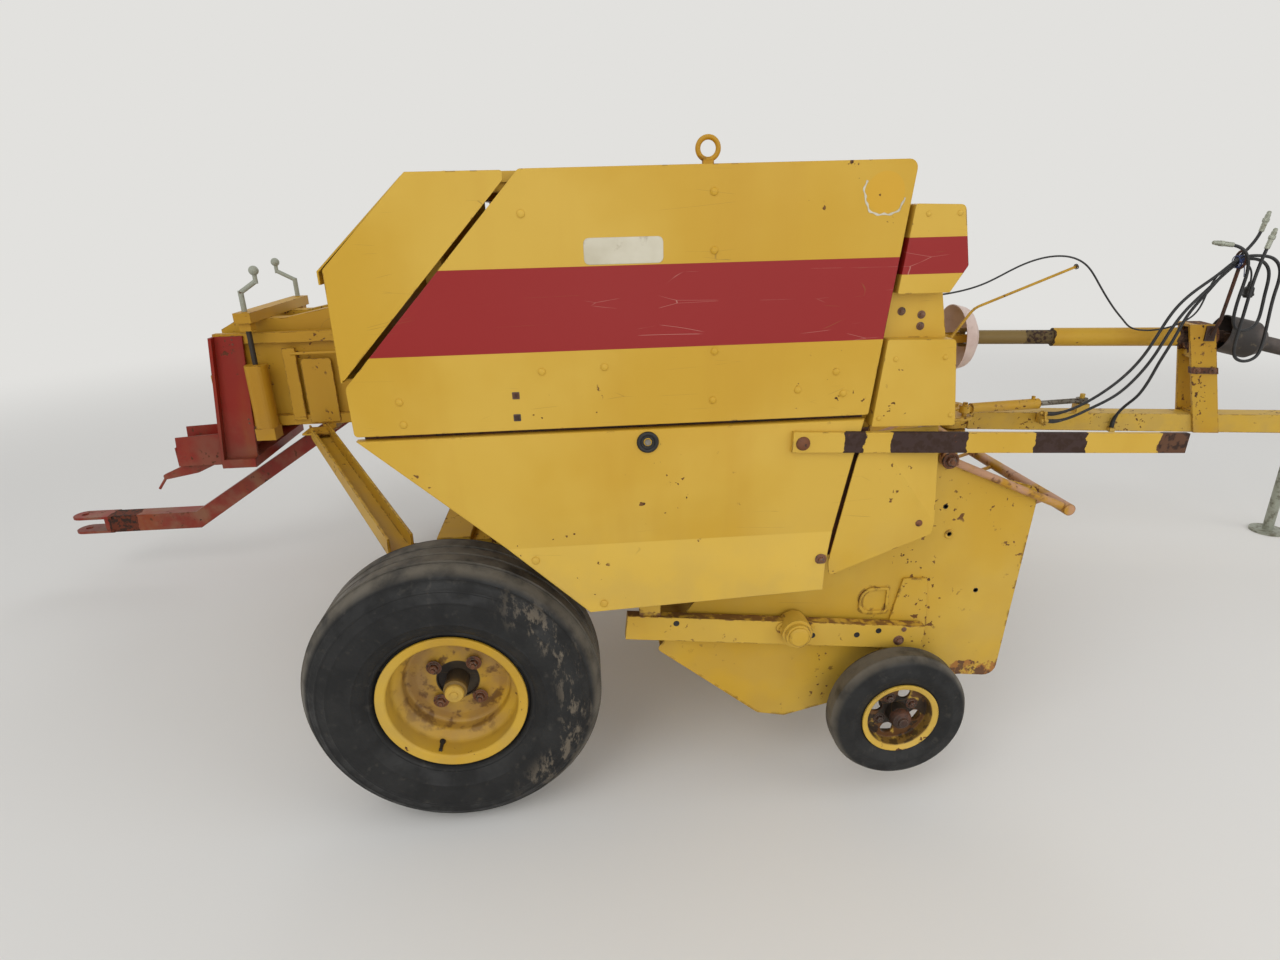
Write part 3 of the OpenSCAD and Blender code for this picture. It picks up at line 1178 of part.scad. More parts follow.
// Swing ram: foot on the front frame, eye on the drawbar
ram_foot = [2300, 1650];
ram_eye = [620, -20];
ram_pin_r = 12;
ram_z = 748;
eye_at = [
    pivot_x + ram_eye[0] * cos(swing) + ram_eye[1] * sin(swing),
    chamber_y - ram_eye[0] * sin(swing) + ram_eye[1] * cos(swing)
];
ram_turn = atan2(eye_at[1] - ram_foot[1], eye_at[0] - ram_foot[0]);
ram_l = norm(eye_at - ram_foot);
module on_ram() translate([ram_foot[0], ram_foot[1], ram_z]) rotate([0, 0, ram_turn]) children();
module ram_barrel() {
    color("#b58f35") on_ram() difference() {
        union() {
            rod_x(0, 0, [30, ram_l - 250], 26);
            rod_z(0, 0, [-18, 18], 26);
            block([0, 40], [-14, 14], [-14, 14]);
            rod_z(ram_l - 280, 0, [0, 40], 9);
        }
        rod_z(0, 0, [-40, 40], ram_pin_r + run_gap);
        rod_x(0, 0, [120, ram_l], 13 + run_gap);
    }
}
module ram_rod() {
    color("#a9a9a4") on_ram() difference() {
        union() {
            rod_x(0, 0, [200, ram_l - 18], 13);
            rod_z(ram_l, 0, [-12, 12], 28);
        }
        rod_z(ram_l, 0, [-40, 40], ram_pin_r + 3);
    }
}
module cone_guard() {
    // Pale plastic cone over the joint behind the driveline
    color("#e6d3cf") translate([pivot_x - 60, chamber_y, drive_z]) rotate([0, 90, 0]) rotate_extrude()
        polygon(soften([
        [162, 0, 0], [166, 0, 0], [150, 62, 34], [86, 104, 24], [60, 108, 0], [60, 104, 0], [84, 100, 22],
        [146, 60, 32]
    ], 4));
    color("#c9a03a") for (a = [-1, 1])
        block([pivot_x - 64, pivot_x - 58], [chamber_y + a * 50 - 12, chamber_y + a * 50 + 12],
            [fork_top + fork_t + seat_gap, drive_z - 150]);
}

module placed() translate([-origin_x, -origin_y, 0]) children();
placed() axle();
placed() wheel_right();
placed() wheel_left();
placed() tyre_right();
placed() tyre_left();
placed() chamber_right();
placed() chamber_left();
placed() chamber_floor();
placed() chamber_top();
placed() tension_gear();
placed() hitch_posts();
placed() hitch_arm();
placed() chute_bracket();
placed() brace();
placed() front_frame();
placed() gearbox();
placed() flywheel();
placed() plunger();
placed() knotters();
placed() needles();
placed() feeder_housing();
placed() feeder_rotor();
placed() cover_frame();
placed() side_rail();
placed() hinge_bracket();
placed() side_shield();
placed() lower_shield();
placed() rear_cover();
placed() twine_door();
placed() top_deck();
placed() front_cover();
placed() corner_plate();
placed() guard_rail();
placed() lifting_eye();
placed() pickup_ends();
placed() pickup_pan();
placed() strippers();
placed() reel();
placed() windguard();
placed() gauge_axle();
placed() gauge_rim();
placed() gauge_tyre();
placed() cone_guard();
placed() driveline();
placed() front_shaft();
placed() front_guard();
placed() drawbar();
placed() pedestal();
placed() hose_stand();
placed() jack_leg();
placed() ram_barrel();
placed() ram_rod();
placed() cable_arm();
placed() hose_1();
placed() hose_2();
placed() hose_3();
placed() cable_1();
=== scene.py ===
"""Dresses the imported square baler: tyres, shield details, fasteners, hoses, wear and finishes, in a studio.

Places are given as on the drawing: x from the axle, y from the face of the right shields, z from the floor,
in metres.
"""

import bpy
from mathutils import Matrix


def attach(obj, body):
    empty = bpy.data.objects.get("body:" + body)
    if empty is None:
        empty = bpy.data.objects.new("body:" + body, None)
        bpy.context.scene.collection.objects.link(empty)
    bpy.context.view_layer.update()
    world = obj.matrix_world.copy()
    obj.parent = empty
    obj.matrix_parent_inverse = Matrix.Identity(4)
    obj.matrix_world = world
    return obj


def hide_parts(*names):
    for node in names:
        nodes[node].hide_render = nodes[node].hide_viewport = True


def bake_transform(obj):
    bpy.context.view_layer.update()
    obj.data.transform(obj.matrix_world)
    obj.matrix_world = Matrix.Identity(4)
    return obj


bl_info = {
    "name": "Square Baler",
    "version": (1, 0, 0),
    "blender": (4, 5, 0),
    "location": "View3D > Sidebar > Baler",
    "description": "Builds the finished look of a square baler over its packed model",
    "category": "Add Mesh",
}

import bmesh
import bpy
import numpy as np
from bpy.props import FloatProperty, FloatVectorProperty, IntProperty, PointerProperty
from mathutils import Matrix

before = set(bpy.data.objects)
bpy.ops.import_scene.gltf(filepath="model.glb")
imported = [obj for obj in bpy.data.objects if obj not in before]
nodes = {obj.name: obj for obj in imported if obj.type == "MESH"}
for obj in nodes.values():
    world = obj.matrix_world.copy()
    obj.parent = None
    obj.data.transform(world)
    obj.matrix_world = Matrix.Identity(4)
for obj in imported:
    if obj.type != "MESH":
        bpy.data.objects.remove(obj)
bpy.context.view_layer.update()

# The drawing's zero point, seen from the middle of the machine's outline
DATUM = np.array([1.030, 1.209, 0.0])
X, Y, Z = np.eye(3)
# The drawbar turns about its pivot; it is drawn swung to the right by twelve degrees
PIVOT = np.array([2.350, 1.860, 0.0])
SWING = np.radians(12)
FORWARD = np.array([np.cos(SWING), -np.sin(SWING), 0.0])
SIDEWAYS = np.array([np.sin(SWING), np.cos(SWING), 0.0])
# Height of the main axle, and from the right tyre's face to the left one's
AXLE_Z, TRACK = 0.4225, 2.4423
# Middle of the gauge wheel's outer face
GAUGE = np.array([1.290, 0.0, 0.298])
# Height of the fold in the lower shield
FOLD_AT = 0.891
# Fall of the pickup's side rail towards the front
RAIL_TILT = np.radians(6.4)
# Middle of the round label that came off the shield
ROUND_LABEL = (1.128, 1.738)


def paint(code):
    """Turns an sRGB hex colour into the linear values that shaders take."""
    part = np.array([int(code[i : i + 2], 16) for i in (1, 3, 5)]) / 255
    return tuple(np.where(part <= 0.04045, part / 12.92, ((part + 0.055) / 1.055) ** 2.4))


def shade(name, code, description):
    return FloatVectorProperty(
        name=name, description=description, subtype="COLOR", size=3, min=0, max=1, default=paint(code)
    )


def length(name, value, description):
    return FloatProperty(name=name, description=description, default=value, min=0, unit="LENGTH")


# Settings


class BalerPaint(bpy.types.PropertyGroup):
    sheet: shade("Sheet yellow", "#BF962A", "Enamel on shields and covers")
    sheet_faded: shade("Faded sheet yellow", "#C8A33F", "The same enamel where sun has chalked it")
    ochre: shade("Deep yellow", "#B2821E", "The enamel in the shade and on the frame")
    stripe: shade("Stripe red", "#8C1B19", "Painted band along the shields")
    hitch_red: shade("Hitch red", "#8B2013", "Enamel on the wagon hitch and the rear posts")
    rust: shade("Rust", "#5C3622", "Bare steel that has rusted through the paint")
    rust_dark: shade("Old rust", "#35241C", "Rust under grease and dust")
    dust: shade("Dust", "#8B7A5E", "Field dust on low and level faces")
    rubber: shade("Tyre rubber", "#1B1B1B", "Tyre walls")
    steel: shade("Worn steel", "#8A857B", "Oiled steel")
    zinc: shade("Dull zinc", "#9B9E90", "Plated cranks and fittings")
    cone: shade("Cone plastic", "#D6C2B8", "Faded guard in front of the flywheel")
    blank: shade("Blank label", "#C9C3B0", "Label whose print is left off")


class BalerShields(bpy.types.PropertyGroup):
    stripe_low: length("Stripe lower edge", 1.401, "Height of the lower edge of the red band")
    stripe_high: length("Stripe upper edge", 1.594, "Height of the upper edge of the red band")
    cover_low: length("Cover stripe lower edge", 1.553, "Height of the band's lower edge on the front cover")
    cover_high: length("Cover stripe upper edge", 1.637, "Height of the band's upper edge on the front cover")
    bolt: length("Bolt head", 0.019, "Width across flats of the bolts in the shields")
    fold: FloatProperty(
        name="Fold", description="Turn of the lower shield's strip", default=np.radians(7.0), unit="ROTATION"
    )


class BalerWheels(bpy.types.PropertyGroup):
    steps: IntProperty(name="Steps", description="Divisions round a tyre", default=144, min=48, max=360)
    groove: length("Tread groove", 0.010, "Width of a groove in the tread")
    nut: length("Wheel nut", 0.024, "Width across flats of a wheel nut")


class BalerHoses(bpy.types.PropertyGroup):
    hose: length("Hose diameter", 0.014, "Outer diameter of a hydraulic hose")
    cable: length("Cable diameter", 0.008, "Outer diameter of the control cable")


class BalerStage(bpy.types.PropertyGroup):
    floor: shade("Floor", "#E2E1DE", "Colour of the floor and of the far background")
    lens: FloatProperty(
        name="Lens", description="Focal length on a 36 mm wide sensor", default=20.543, unit="CAMERA"
    )
    key: FloatProperty(name="Key light", description="Power of the large lamp", default=140, unit="POWER")
    sky: FloatProperty(
        name="Sky", description="Strength of the even light from all round", default=0.60, min=0
    )


def settings(name):
    return getattr(bpy.context.scene, "baler_" + name)


# Meshes from arrays


def at(points):
    """Places on the drawing to places in the model."""
    return np.asarray(points, float) - DATUM


def on_drawbar(points):
    """Millimetres along, across and above the drawbar to metres on the drawing."""
    p = np.asarray(points, float) / 1000
    return PIVOT + p[..., :1] * FORWARD + p[..., 1:2] * SIDEWAYS + p[..., 2:] * Z


def on_face(points, y=0.0):
    """Places (x, z) on a face that stands at y."""
    return np.array([(x, y, z) for x, z in points])


def mesh_piece(name, shape, body, material, smooth=0.6):
    """Puts a closed shape's vertices and faces into an object that rides on a body, or on none yet; edges
    sharper than smooth stay sharp."""
    verts, faces = shape
    data = bpy.data.meshes.new(name)
    data.from_pydata(at(verts).tolist(), [], [list(map(int, f)) for f in faces])
    outward = bmesh.new()
    outward.from_mesh(data)
    bmesh.ops.recalc_face_normals(outward, faces=outward.faces)
    outward.to_mesh(data)
    outward.free()
    data.polygons.foreach_set("use_smooth", np.ones(len(data.polygons), bool))
    data.set_sharp_from_angle(angle=smooth)
    data.materials.append(material)
    data.update()
    piece = bpy.data.objects.new(name, data)
    bpy.context.scene.collection.objects.link(piece)
    if body:
        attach(piece, body)
    return piece


def grid_faces(rows, columns, wrap_rows=False, wrap_columns=False):
    """Quads between neighbouring rows and columns; a wrapped side joins its last line to its first."""
    i = np.arange(rows if wrap_rows else rows - 1)[:, None]
    j = np.arange(columns if wrap_columns else columns - 1)[None, :]
    a, b = i * columns + j, i * columns + (j + 1) % columns
    c, d = (i + 1) % rows * columns + (j + 1) % columns, (i + 1) % rows * columns + j
    return np.stack([a, b, c, d], -1).reshape(-1, 4)


def capped(rings):
    """Rings of points joined by quads and closed by a flat face at each end."""
    rows, columns = rings.shape[:2]
    faces = [list(f) for f in grid_faces(rows, columns, wrap_columns=True)]
    faces += [list(range(columns))[::-1], list(range((rows - 1) * columns, rows * columns))]
    return rings.reshape(-1, 3), faces


def tube(path, radius, side, steps=14):
    """Circle of the given radius carried along a path: centre + r (cos u N + sin u B), where N is side made
    square to the path's direction and B is their cross product."""
    path = np.asarray(path, float)
    radius = np.broadcast_to(radius, len(path))[:, None, None]
    ahead = np.gradient(path, axis=0)
    ahead /= np.linalg.norm(ahead, axis=1, keepdims=True)
    normal = np.asarray(side, float) - (ahead @ np.asarray(side, float))[:, None] * ahead
    normal /= np.linalg.norm(normal, axis=1, keepdims=True)
    cross = np.cross(ahead, normal)
    u = np.linspace(0, 2 * np.pi, steps, endpoint=False)[None, :, None]
    return capped(path[:, None] + radius * (np.cos(u) * normal[:, None] + np.sin(u) * cross[:, None]))


def revolve(profile, centre, axis, steps=96):
    """A closed profile of (radius, height) turned about an axis A through centre:
    centre + h A + r (cos u P + sin u Q), with P and Q square to A."""
    profile = np.asarray(profile, float)
    a = np.asarray(axis, float) / np.linalg.norm(axis)
    p = np.cross(a, Z if abs(a[2]) < 0.9 else X)
    p /= np.linalg.norm(p)
    q = np.cross(a, p)
    u = np.linspace(0, 2 * np.pi, steps, endpoint=False)[:, None, None]
    radial = profile[None, :, 0:1] * (np.cos(u) * p + np.sin(u) * q)
    rings = np.asarray(centre, float) + profile[None, :, 1:2] * a + radial
    return rings.reshape(-1, 3), grid_faces(steps, len(profile), wrap_rows=True, wrap_columns=True)


def hoop(centre, axis, major, minor, steps=48, round_steps=10):
    """Ring of round wire: a circle of the minor radius turned about the axis at the major radius."""
    u = np.linspace(0, 2 * np.pi, round_steps, endpoint=False)
    return revolve(np.stack([major + minor * np.cos(u), minor * np.sin(u)], 1), centre, axis, steps)


def joined(parts):
    """Several (vertices, faces) pairs as one."""
    verts, faces, start = [], [], 0
    for v, f in parts:
        verts.append(np.asarray(v, float))
        faces += [[int(k) + start for k in face] for face in f]
        start += len(v)
    return np.concatenate(verts), faces


def turned(shape, places, outward):
    """Copies of a shape drawn round +Z, set at places with +Z turned to outward."""
    verts, faces = shape
    a = np.asarray(outward, float) / np.linalg.norm(outward)
    p = np.cross(Z if abs(a[2]) < 0.9 else X, a)
    p /= np.linalg.norm(p)
    basis = np.stack([p, np.cross(a, p), a])
    return joined([(verts @ basis + np.asarray(place, float), faces) for place in places])


def stack(radii, heights, steps):
    """Rings of the given radii at the given heights round +Z, closed by a flat face at both ends:
    (r cos u, r sin u, h)."""
    u = np.linspace(0, 2 * np.pi, steps, endpoint=False)[None, :]
    r, z = np.asarray(radii, float)[:, None], np.asarray(heights, float)[:, None]
    return capped(np.stack([r * np.cos(u), r * np.sin(u), z + 0 * u], -1))


def hex_bolt(width, reach=0.0):
    """Washer under a six-sided head whose upper corners are turned down; reach is how far its thread stands
    out."""
    r = width / np.sqrt(3)
    top = 0.0018 + 0.52 * width
    parts = [
        stack([0.95 * width, 0.95 * width, 0.85 * width], [-0.001, 0.0012, 0.0018], 20),
        stack([r, r, 0.86 * r], [0.001, top - 0.1 * width, top], 6),
    ]
    if reach:
        thread = [0.3 * width, 0.3 * width, 0.24 * width]
        parts.append(stack(thread, [top - 0.002, top + reach - 0.002, top + reach], 12))
    return joined(parts)


def dome_bolt(width):
    """Round-headed bolt: a low dome, r = R cos t and z = H sin t."""
    t = np.linspace(0, 1.45, 6)
    return stack(np.r_[width * 0.62, width * 0.62 * np.cos(t)], np.r_[-0.001, 0.3 * width * np.sin(t)], 16)


def hole(radius):
    """Small hole: a cup as wide as the hole inside a turned lip 0.8 mm high."""
    return stack([radius * 1.25, radius * 1.25, radius, radius * 0.9], [-0.001, 0.0006, 0.0008, 0.0], 16)


def prism(outline, low, high, axis=1, shrink=0.0):
    """A flat outline made thick along an axis, from low to high; shrink pulls the face at low inwards."""
    p = np.asarray(outline, float)
    middle = p.mean(0)
    size = np.linalg.norm(p - middle, axis=1).max()
    levels = [(high, 1.0), (low, 1.0)]
    if shrink:
        levels = [(high, 1.0), (low + shrink, 1.0), (low, 1 - shrink / size)]
    rings = np.zeros((len(levels), len(p), 3))
    flat = [k for k in range(3) if k != axis]
    for row, (level, scale) in enumerate(levels):
        rings[row][:, flat] = middle + (p - middle) * scale
        rings[row][:, axis] = level
    return capped(rings)


def rounded(x, z, radius, steps=4):
    """Rectangle with round corners: a quarter circle at each, centred a radius inside both sides."""
    t = np.linspace(0, np.pi / 2, steps)
    corners = ((x[1], z[1], -1, -1), (x[0], z[1], 1, -1), (x[0], z[0], 1, 1), (x[1], z[0], -1, 1))
    parts = []
    for k, (cx, cz, to_x, to_z) in enumerate(corners):
        arc = t + k * np.pi / 2
        parts.append(np.stack([cx + radius * (to_x + np.cos(arc)), cz + radius * (to_z + np.sin(arc))], 1))
    return np.concatenate(parts)


def smooth_line(points, count):
    """Natural cubic spline whose parameter grows with the 0.6th power of each chord, at even steps along its
    length. Its second derivatives M solve h0 M0 + 2 (h0 + h1) M1 + h1 M2 = 6 (slope1 - slope0), with M = 0 at
    both ends."""
    p = np.asarray(points, float)
    h = np.linalg.norm(np.diff(p, axis=0), axis=1) ** 0.6
    u = np.r_[0, np.cumsum(h)]
    system, right = np.eye(len(p)), np.zeros_like(p)
    inner = np.arange(1, len(p) - 1)
    system[inner, inner - 1], system[inner, inner + 1] = h[:-1], h[1:]
    system[inner, inner] = 2 * (h[:-1] + h[1:])
    right[1:-1] = 6 * np.diff(np.diff(p, axis=0) / h[:, None], axis=0)
    m = np.linalg.solve(system, right)
    w = np.linspace(0, u[-1], 2000)
    k = np.clip(np.searchsorted(u, w, side="right") - 1, 0, len(p) - 2)
    a, b, hk = (u[k + 1] - w)[:, None], (w - u[k])[:, None], h[k][:, None]
    line = (m[k] * a**3 + m[k + 1] * b**3) / (6 * hk)
    line += (p[k] / hk - m[k] * hk / 6) * a + (p[k + 1] / hk - m[k + 1] * hk / 6) * b
    run = np.r_[0, np.cumsum(np.linalg.norm(np.diff(line, axis=0), axis=1))]
    even = np.linspace(0, run[-1], count)
    return np.stack([np.interp(even, run, line[:, j]) for j in range(3)], 1)


# Materials


def feed(tree, socket, value):
    """Links an output to an input, or sets the input's value."""
    if isinstance(value, bpy.types.NodeSocket):
        tree.links.new(value, socket)
    else:
        socket.default_value = (*value, 1) if socket.type == "RGBA" and len(value) == 3 else value


def add(tree, kind, inputs=(), **values):
    """Adds a node, sets its properties, and fills or links its inputs."""
    item = tree.nodes.new(kind)
    for key, value in values.items():
        setattr(item, key, value)
    for key, value in dict(inputs).items():
        feed(tree, item.inputs[key], value)
    return item


class Finish:
    """A material being built: object coordinates, patterns and colour layers that end in one shader."""

    def __init__(self, name, base, **shader):
        self.material = bpy.data.materials.new(name)
        self.material.use_nodes = True
        self.tree = self.material.node_tree
        self.tree.nodes.clear()
        self.out = add(self.tree, "ShaderNodeOutputMaterial")
        self.shader = add(self.tree, "ShaderNodeBsdfPrincipled")
        for key, value in shader.items():
            self.shader.inputs[key.replace("_", " ")].default_value = value
        self.tree.links.new(self.shader.outputs[0], self.out.inputs[0])
        self.place = self.node("TexCoord", out="Object")
        self.normal = self.node("NewGeometry", out="Normal")
        self.colour = tuple(base)
        self.heights = []

    def node(self, kind, inputs=(), out=0, **values):
        """Adds a node to the material and gives back one of its outputs."""
        return add(self.tree, "ShaderNode" + kind, inputs, **values).outputs[out]

    def maths(self, how, a, b=0.0):
        return self.node("Math", {0: a, 1: b}, operation=how)

    def vector(self, how, a, b=(0, 0, 0), out=0):
        return self.node("VectorMath", {0: a, 1: b}, out, operation=how)

    def both(self, a, b):
        """Product of two masks."""
        return self.maths("MULTIPLY", a, b)

    def ramp(self, value, low, high, to=(0, 1)):
        """Soft step from to[0] at low to to[1] at high."""
        inputs = {0: value, 1: low, 2: high, 3: to[0], 4: to[1]}
        return self.node("MapRange", inputs, interpolation_type="SMOOTHSTEP")

    def mapped(self, shift, turn, stretch):
        """Object coordinates moved, turned and stretched."""
        return self.node("Mapping", {0: self.place, "Location": shift, "Rotation": turn, "Scale": stretch})

    def spots(self, scale, low, high, detail=3, stretch=(1, 1, 1), shift=0.0, rough=0.55):
        """Noise of the given scale per metre, from 0 at low to 1 at high."""
        where = self.mapped((shift, shift * 0.7, shift * 0.3), (0, 0, 0), stretch)
        inputs = {"Vector": where, "Scale": scale, "Detail": detail, "Roughness": rough}
        return self.ramp(self.node("TexNoise", inputs), low, high)

    def scratches(self, scale, width, cover, stretch, turn, shift=0.0):
        """Long thin lines: the borders of drawn-out cells, kept only in patches."""
        where = self.mapped((shift, 0, shift), turn, stretch)
        warp = self.node("TexNoise", {"Vector": where, "Scale": scale * 0.6}, 1)
        bent = self.node("Mix", {0: 0.12, 4: where, 5: warp}, 1, data_type="VECTOR")
        border = self.node("TexVoronoi", {"Vector": bent, "Scale": scale}, feature="DISTANCE_TO_EDGE")
        patches = self.spots(5.0, cover, cover + 0.06, shift=shift + 3)
        return self.both(self.ramp(border, 0.0, width, (1, 0)), patches)

    def edges(self, radius=0.006, low=0.02, high=0.3):
        """1 on edges and corners, from how far a rounded normal departs from the true one."""
        round_normal = self.node("Bevel", {"Radius": radius}, samples=4)
        same = self.vector("DOT_PRODUCT", round_normal, self.normal, "Value")
        return self.ramp(self.maths("SUBTRACT", 1.0, same), low, high)

    def layer(self, mask, colour, strength=1.0):
        """Lays a colour over what is there, as far as mask times strength is 1."""
        if strength < 1:
            mask = self.both(mask, strength)
        self.colour = self.node("Mix", {0: mask, 6: self.colour, 7: colour}, 2, data_type="RGBA")

    def along(self, direction, ragged=0.0):
        """How far a place lies along a direction of the drawing; ragged moves it about by noise."""
        reach = self.vector("DOT_PRODUCT", self.place, tuple(direction), "Value")
        reach = self.maths("ADD", reach, float(np.dot(direction, DATUM)))
        if ragged:
            noise = self.node("TexNoise", {"Vector": self.place, "Scale": 34.0, "Detail": 4})
            reach = self.maths("ADD", reach, self.both(self.maths("SUBTRACT", noise, 0.5), ragged * 3))
        return reach

    def off_axis(self, centre, axis):
        """Distance from a line through centre along axis."""
        arm = self.vector("SUBTRACT", self.place, tuple(map(float, at(centre))))
        flat = self.vector("MULTIPLY", arm, tuple(1.0 - abs(np.asarray(axis, float))))
        return self.vector("LENGTH", flat, out="Value")

    def between(self, value, low, high, soft=0.0006):
        """1 where a value lies between two limits."""
        rise = self.ramp(value, low - soft, low + soft)
        return self.both(rise, self.ramp(value, high - soft, high + soft, (1, 0)))

    def zone(self, limits, ragged=0.0):
        """1 inside limits, each a direction with the lowest and the highest place along it."""
        mask = None
        for direction, low, high in limits:
            part = self.between(self.along(direction, ragged), low, high)
            mask = part if mask is None else self.both(mask, part)
        return mask

    def bump(self, height, distance):
        self.heights.append((height, distance))

    def done(self, roughness, soft_edge=0.0025):
        """Links colour, roughness and relief to the shader and gives back the material."""
        normal = self.node("Bevel", {"Radius": soft_edge}, samples=4) if soft_edge else None
        for height, distance in self.heights:
            inputs = {"Strength": 1.0, "Distance": distance, "Height": height}
            if normal:
                inputs["Normal"] = normal
            normal = self.node("Bump", inputs)
        if normal:
            feed(self.tree, self.shader.inputs["Normal"], normal)
        feed(self.tree, self.shader.inputs["Base Color"], self.colour)
        feed(self.tree, self.shader.inputs["Roughness"], roughness)
        return self.material


def enamel(name, base, light, wear, grime=0.35, bands=(), bare=(), extra=None, rim=0.006):
    """Brushed and sprayed machinery enamel: satin, chalked by sun in wide patches, streaked by rain, chipped
    to brown rust at folds and edges. wear runs from 0, a clean sheet, to 1, a frame that has lost much of its
    paint. bands are painted zones and bare ones have lost their paint, each with its colour; rim is how far
    rust creeps in from edges."""
    colours = settings("paint")
    f = Finish(name, base, IOR=1.5, Specular_IOR_Level=0.3)
    f.layer(f.spots(1.6, 0.36, 0.66, detail=4), light)
    f.layer(f.spots(7.0, 0.5, 0.75, stretch=(1, 1, 0.12), detail=4), colours.ochre, 0.16)
    for limits, colour in bands:
        f.layer(f.zone(limits), colour)
        scuffs = f.both(f.scratches(2.6, 0.005, 0.53, (1.0, 1.0, 6.0), (0, 0.4, 0)), f.zone(limits))
        f.layer(scuffs, paint("#B9857A"), 0.7)
    if extra:
        extra(f)
    lines = f.scratches(2.0, 0.004, 0.58, (1.0, 1.0, 8.0), (0, -0.12, 0), 5.0)
    f.layer(lines, paint("#7E5F2A"), 0.6)
    near_ground = f.ramp(f.along(Z), 0.25, 1.1, (1, 0))
    f.layer(f.both(near_ground, f.spots(9.0, 0.38, 0.66, detail=5, shift=2.0)), colours.dust, grime)
    patches = f.spots(4.0, 0.58 - 0.16 * wear, 0.68, shift=8.0)
    chips = f.both(f.spots(46.0, 0.69 - 0.1 * wear, 0.72 - 0.08 * wear, shift=1.0), patches)
    edges = f.both(f.edges(rim), f.spots(28.0, 0.63 - 0.22 * wear, 0.68 - 0.1 * wear, shift=4.0))
    rust = worn = f.maths("MAXIMUM", chips, edges)
    for limits, colour in bare:
        zone = f.zone(limits, ragged=0.012)
        rust = f.maths("MAXIMUM", rust, zone)
        f.layer(zone, colour)
    f.layer(f.ramp(worn, 0.0, 0.5), colours.rust, 0.9)
    f.layer(f.both(f.ramp(rust, 0.6, 1.0), f.spots(60.0, 0.45, 0.6)), colours.rust_dark)
    # Rolled sheet is never quite flat: waves of a hand's width, under a millimetre deep
    f.bump(f.spots(2.4, 0.0, 1.0, detail=1), 0.008)
    f.bump(f.both(rust, -1.0), 0.0012)
    return f.done(f.ramp(rust, 0.0, 0.8, (0.48, 0.86)))


def rusty_steel(name, base, light, metallic=0.0):
    """Hot-rolled steel that has lost its paint: brown rust in fine spots over darker scale, dull."""
    colours = settings("paint")
    f = Finish(name, base, Metallic=metallic, Specular_IOR_Level=0.35)
    f.layer(f.spots(9.0, 0.35, 0.65, detail=6), light)
    f.layer(f.spots(70.0, 0.52, 0.66, detail=3), colours.rust_dark)
    f.layer(f.edges(), colours.steel, 0.4)
    f.bump(f.spots(120.0, 0.2, 0.8), 0.0008)
    return f.done(f.ramp(f.spots(30.0, 0.2, 0.9, detail=4), 0, 1, (0.5, 0.85)))


def tyre_rubber(name, centre, tread, scuffed):
    """Vulcanised rubber: near black, with dusty tread from the given radius and dry scuffs on the front of
    the wall."""
    f = Finish(name, settings("paint").rubber, IOR=1.52, Specular_IOR_Level=0.3)
    f.layer(f.spots(5.0, 0.42, 0.75, detail=5), paint("#2A2A29"), 0.7)
    from_axle = f.off_axis(centre, Y)
    worn = f.both(f.ramp(from_axle, tread - 0.012, tread + 0.008), f.spots(12.0, 0.2, 0.6, detail=5))
    f.layer(worn, paint("#6E675B"), 0.75)
    front = f.both(f.between(from_axle, 0.31, 0.39, 0.03), f.ramp(f.along(X), 0.12, 0.26))
    scuffs = f.both(front, f.spots(30.0, 0.5, 0.6, detail=8, stretch=(1, 1, 0.4), rough=0.7))
    f.layer(scuffs, paint("#7D7262"), scuffed)
    f.layer(f.spots(34.0, 0.58, 0.72, detail=6), paint("#4A463F"), 0.35)
    f.bump(f.spots(90.0, 0.3, 0.8, detail=5), 0.0005)
    return f.done(f.ramp(f.spots(14.0, 0.3, 0.7), 0, 1, (0.5, 0.8)))


def plastic(name, base, light, rough, dusty=0.4):
    """Moulded polyethylene: soft sheen, chalked and scuffed."""
    f = Finish(name, base, IOR=1.49, Specular_IOR_Level=0.4)
    f.layer(f.spots(6.0, 0.4, 0.7, detail=4), light)
    f.layer(f.spots(30.0, 0.6, 0.72, detail=5), settings("paint").dust, dusty)
    f.bump(f.spots(150.0, 0.2, 0.8), 0.0003)
    return f.done(rough)


def plated(name, base):
    """Zinc-plated steel gone dull: grey with a green cast, half metallic under dirt."""
    f = Finish(name, base, Metallic=0.55)
    f.layer(f.spots(40.0, 0.45, 0.7, detail=5), paint("#6B6757"))
    f.layer(f.edges(0.004), paint("#B5B2A6"), 0.5)
    f.bump(f.spots(140.0, 0.2, 0.8), 0.0004)
    return f.done(f.ramp(f.spots(25.0, 0.3, 0.7), 0, 1, (0.35, 0.6)))


def hose_rubber():
    """Wire-braided hose cover: black synthetic rubber with a wrapped-cloth finish, 3 mm from rib to rib."""
    f = Finish("Wrapped hose rubber", paint("#17181A"), IOR=1.52, Specular_IOR_Level=0.45)
    f.layer(f.spots(30.0, 0.5, 0.7, detail=4), paint("#3B3A37"), 0.4)
    f.bump(f.spots(300.0, 0.2, 0.8), 0.0004)
    return f.done(0.48, soft_edge=0)


# Wear that only one piece has


def rim_wear_and_hub_shade(f):
    """The well of a wheel keeps dust and rust; round the deep hole at its hub, near black is painted as
    painted shade.
    """
    from_axle = f.off_axis((0, 0, AXLE_Z), Y)
    from_face = f.maths("MINIMUM", f.along(Y), f.maths("SUBTRACT", TRACK, f.along(Y)))
    deep = f.ramp(from_face, 0.03, 0.085)
    well = f.both(deep, f.ramp(from_axle, 0.13, 0.19, (1, 0.35)))
    f.layer(f.both(well, f.spots(7.0, 0.3, 0.62, detail=5)), paint("#8C6A4A"), 0.75)
    f.layer(f.both(well, f.spots(18.0, 0.52, 0.62, detail=5, shift=6)), paint("#553421"), 0.8)
    # Painted shade: near black where the dish is deep and close to the axle.
    f.layer(f.both(deep, f.ramp(from_axle, 0.062, 0.066, (1, 0))), paint("#1E1712"))


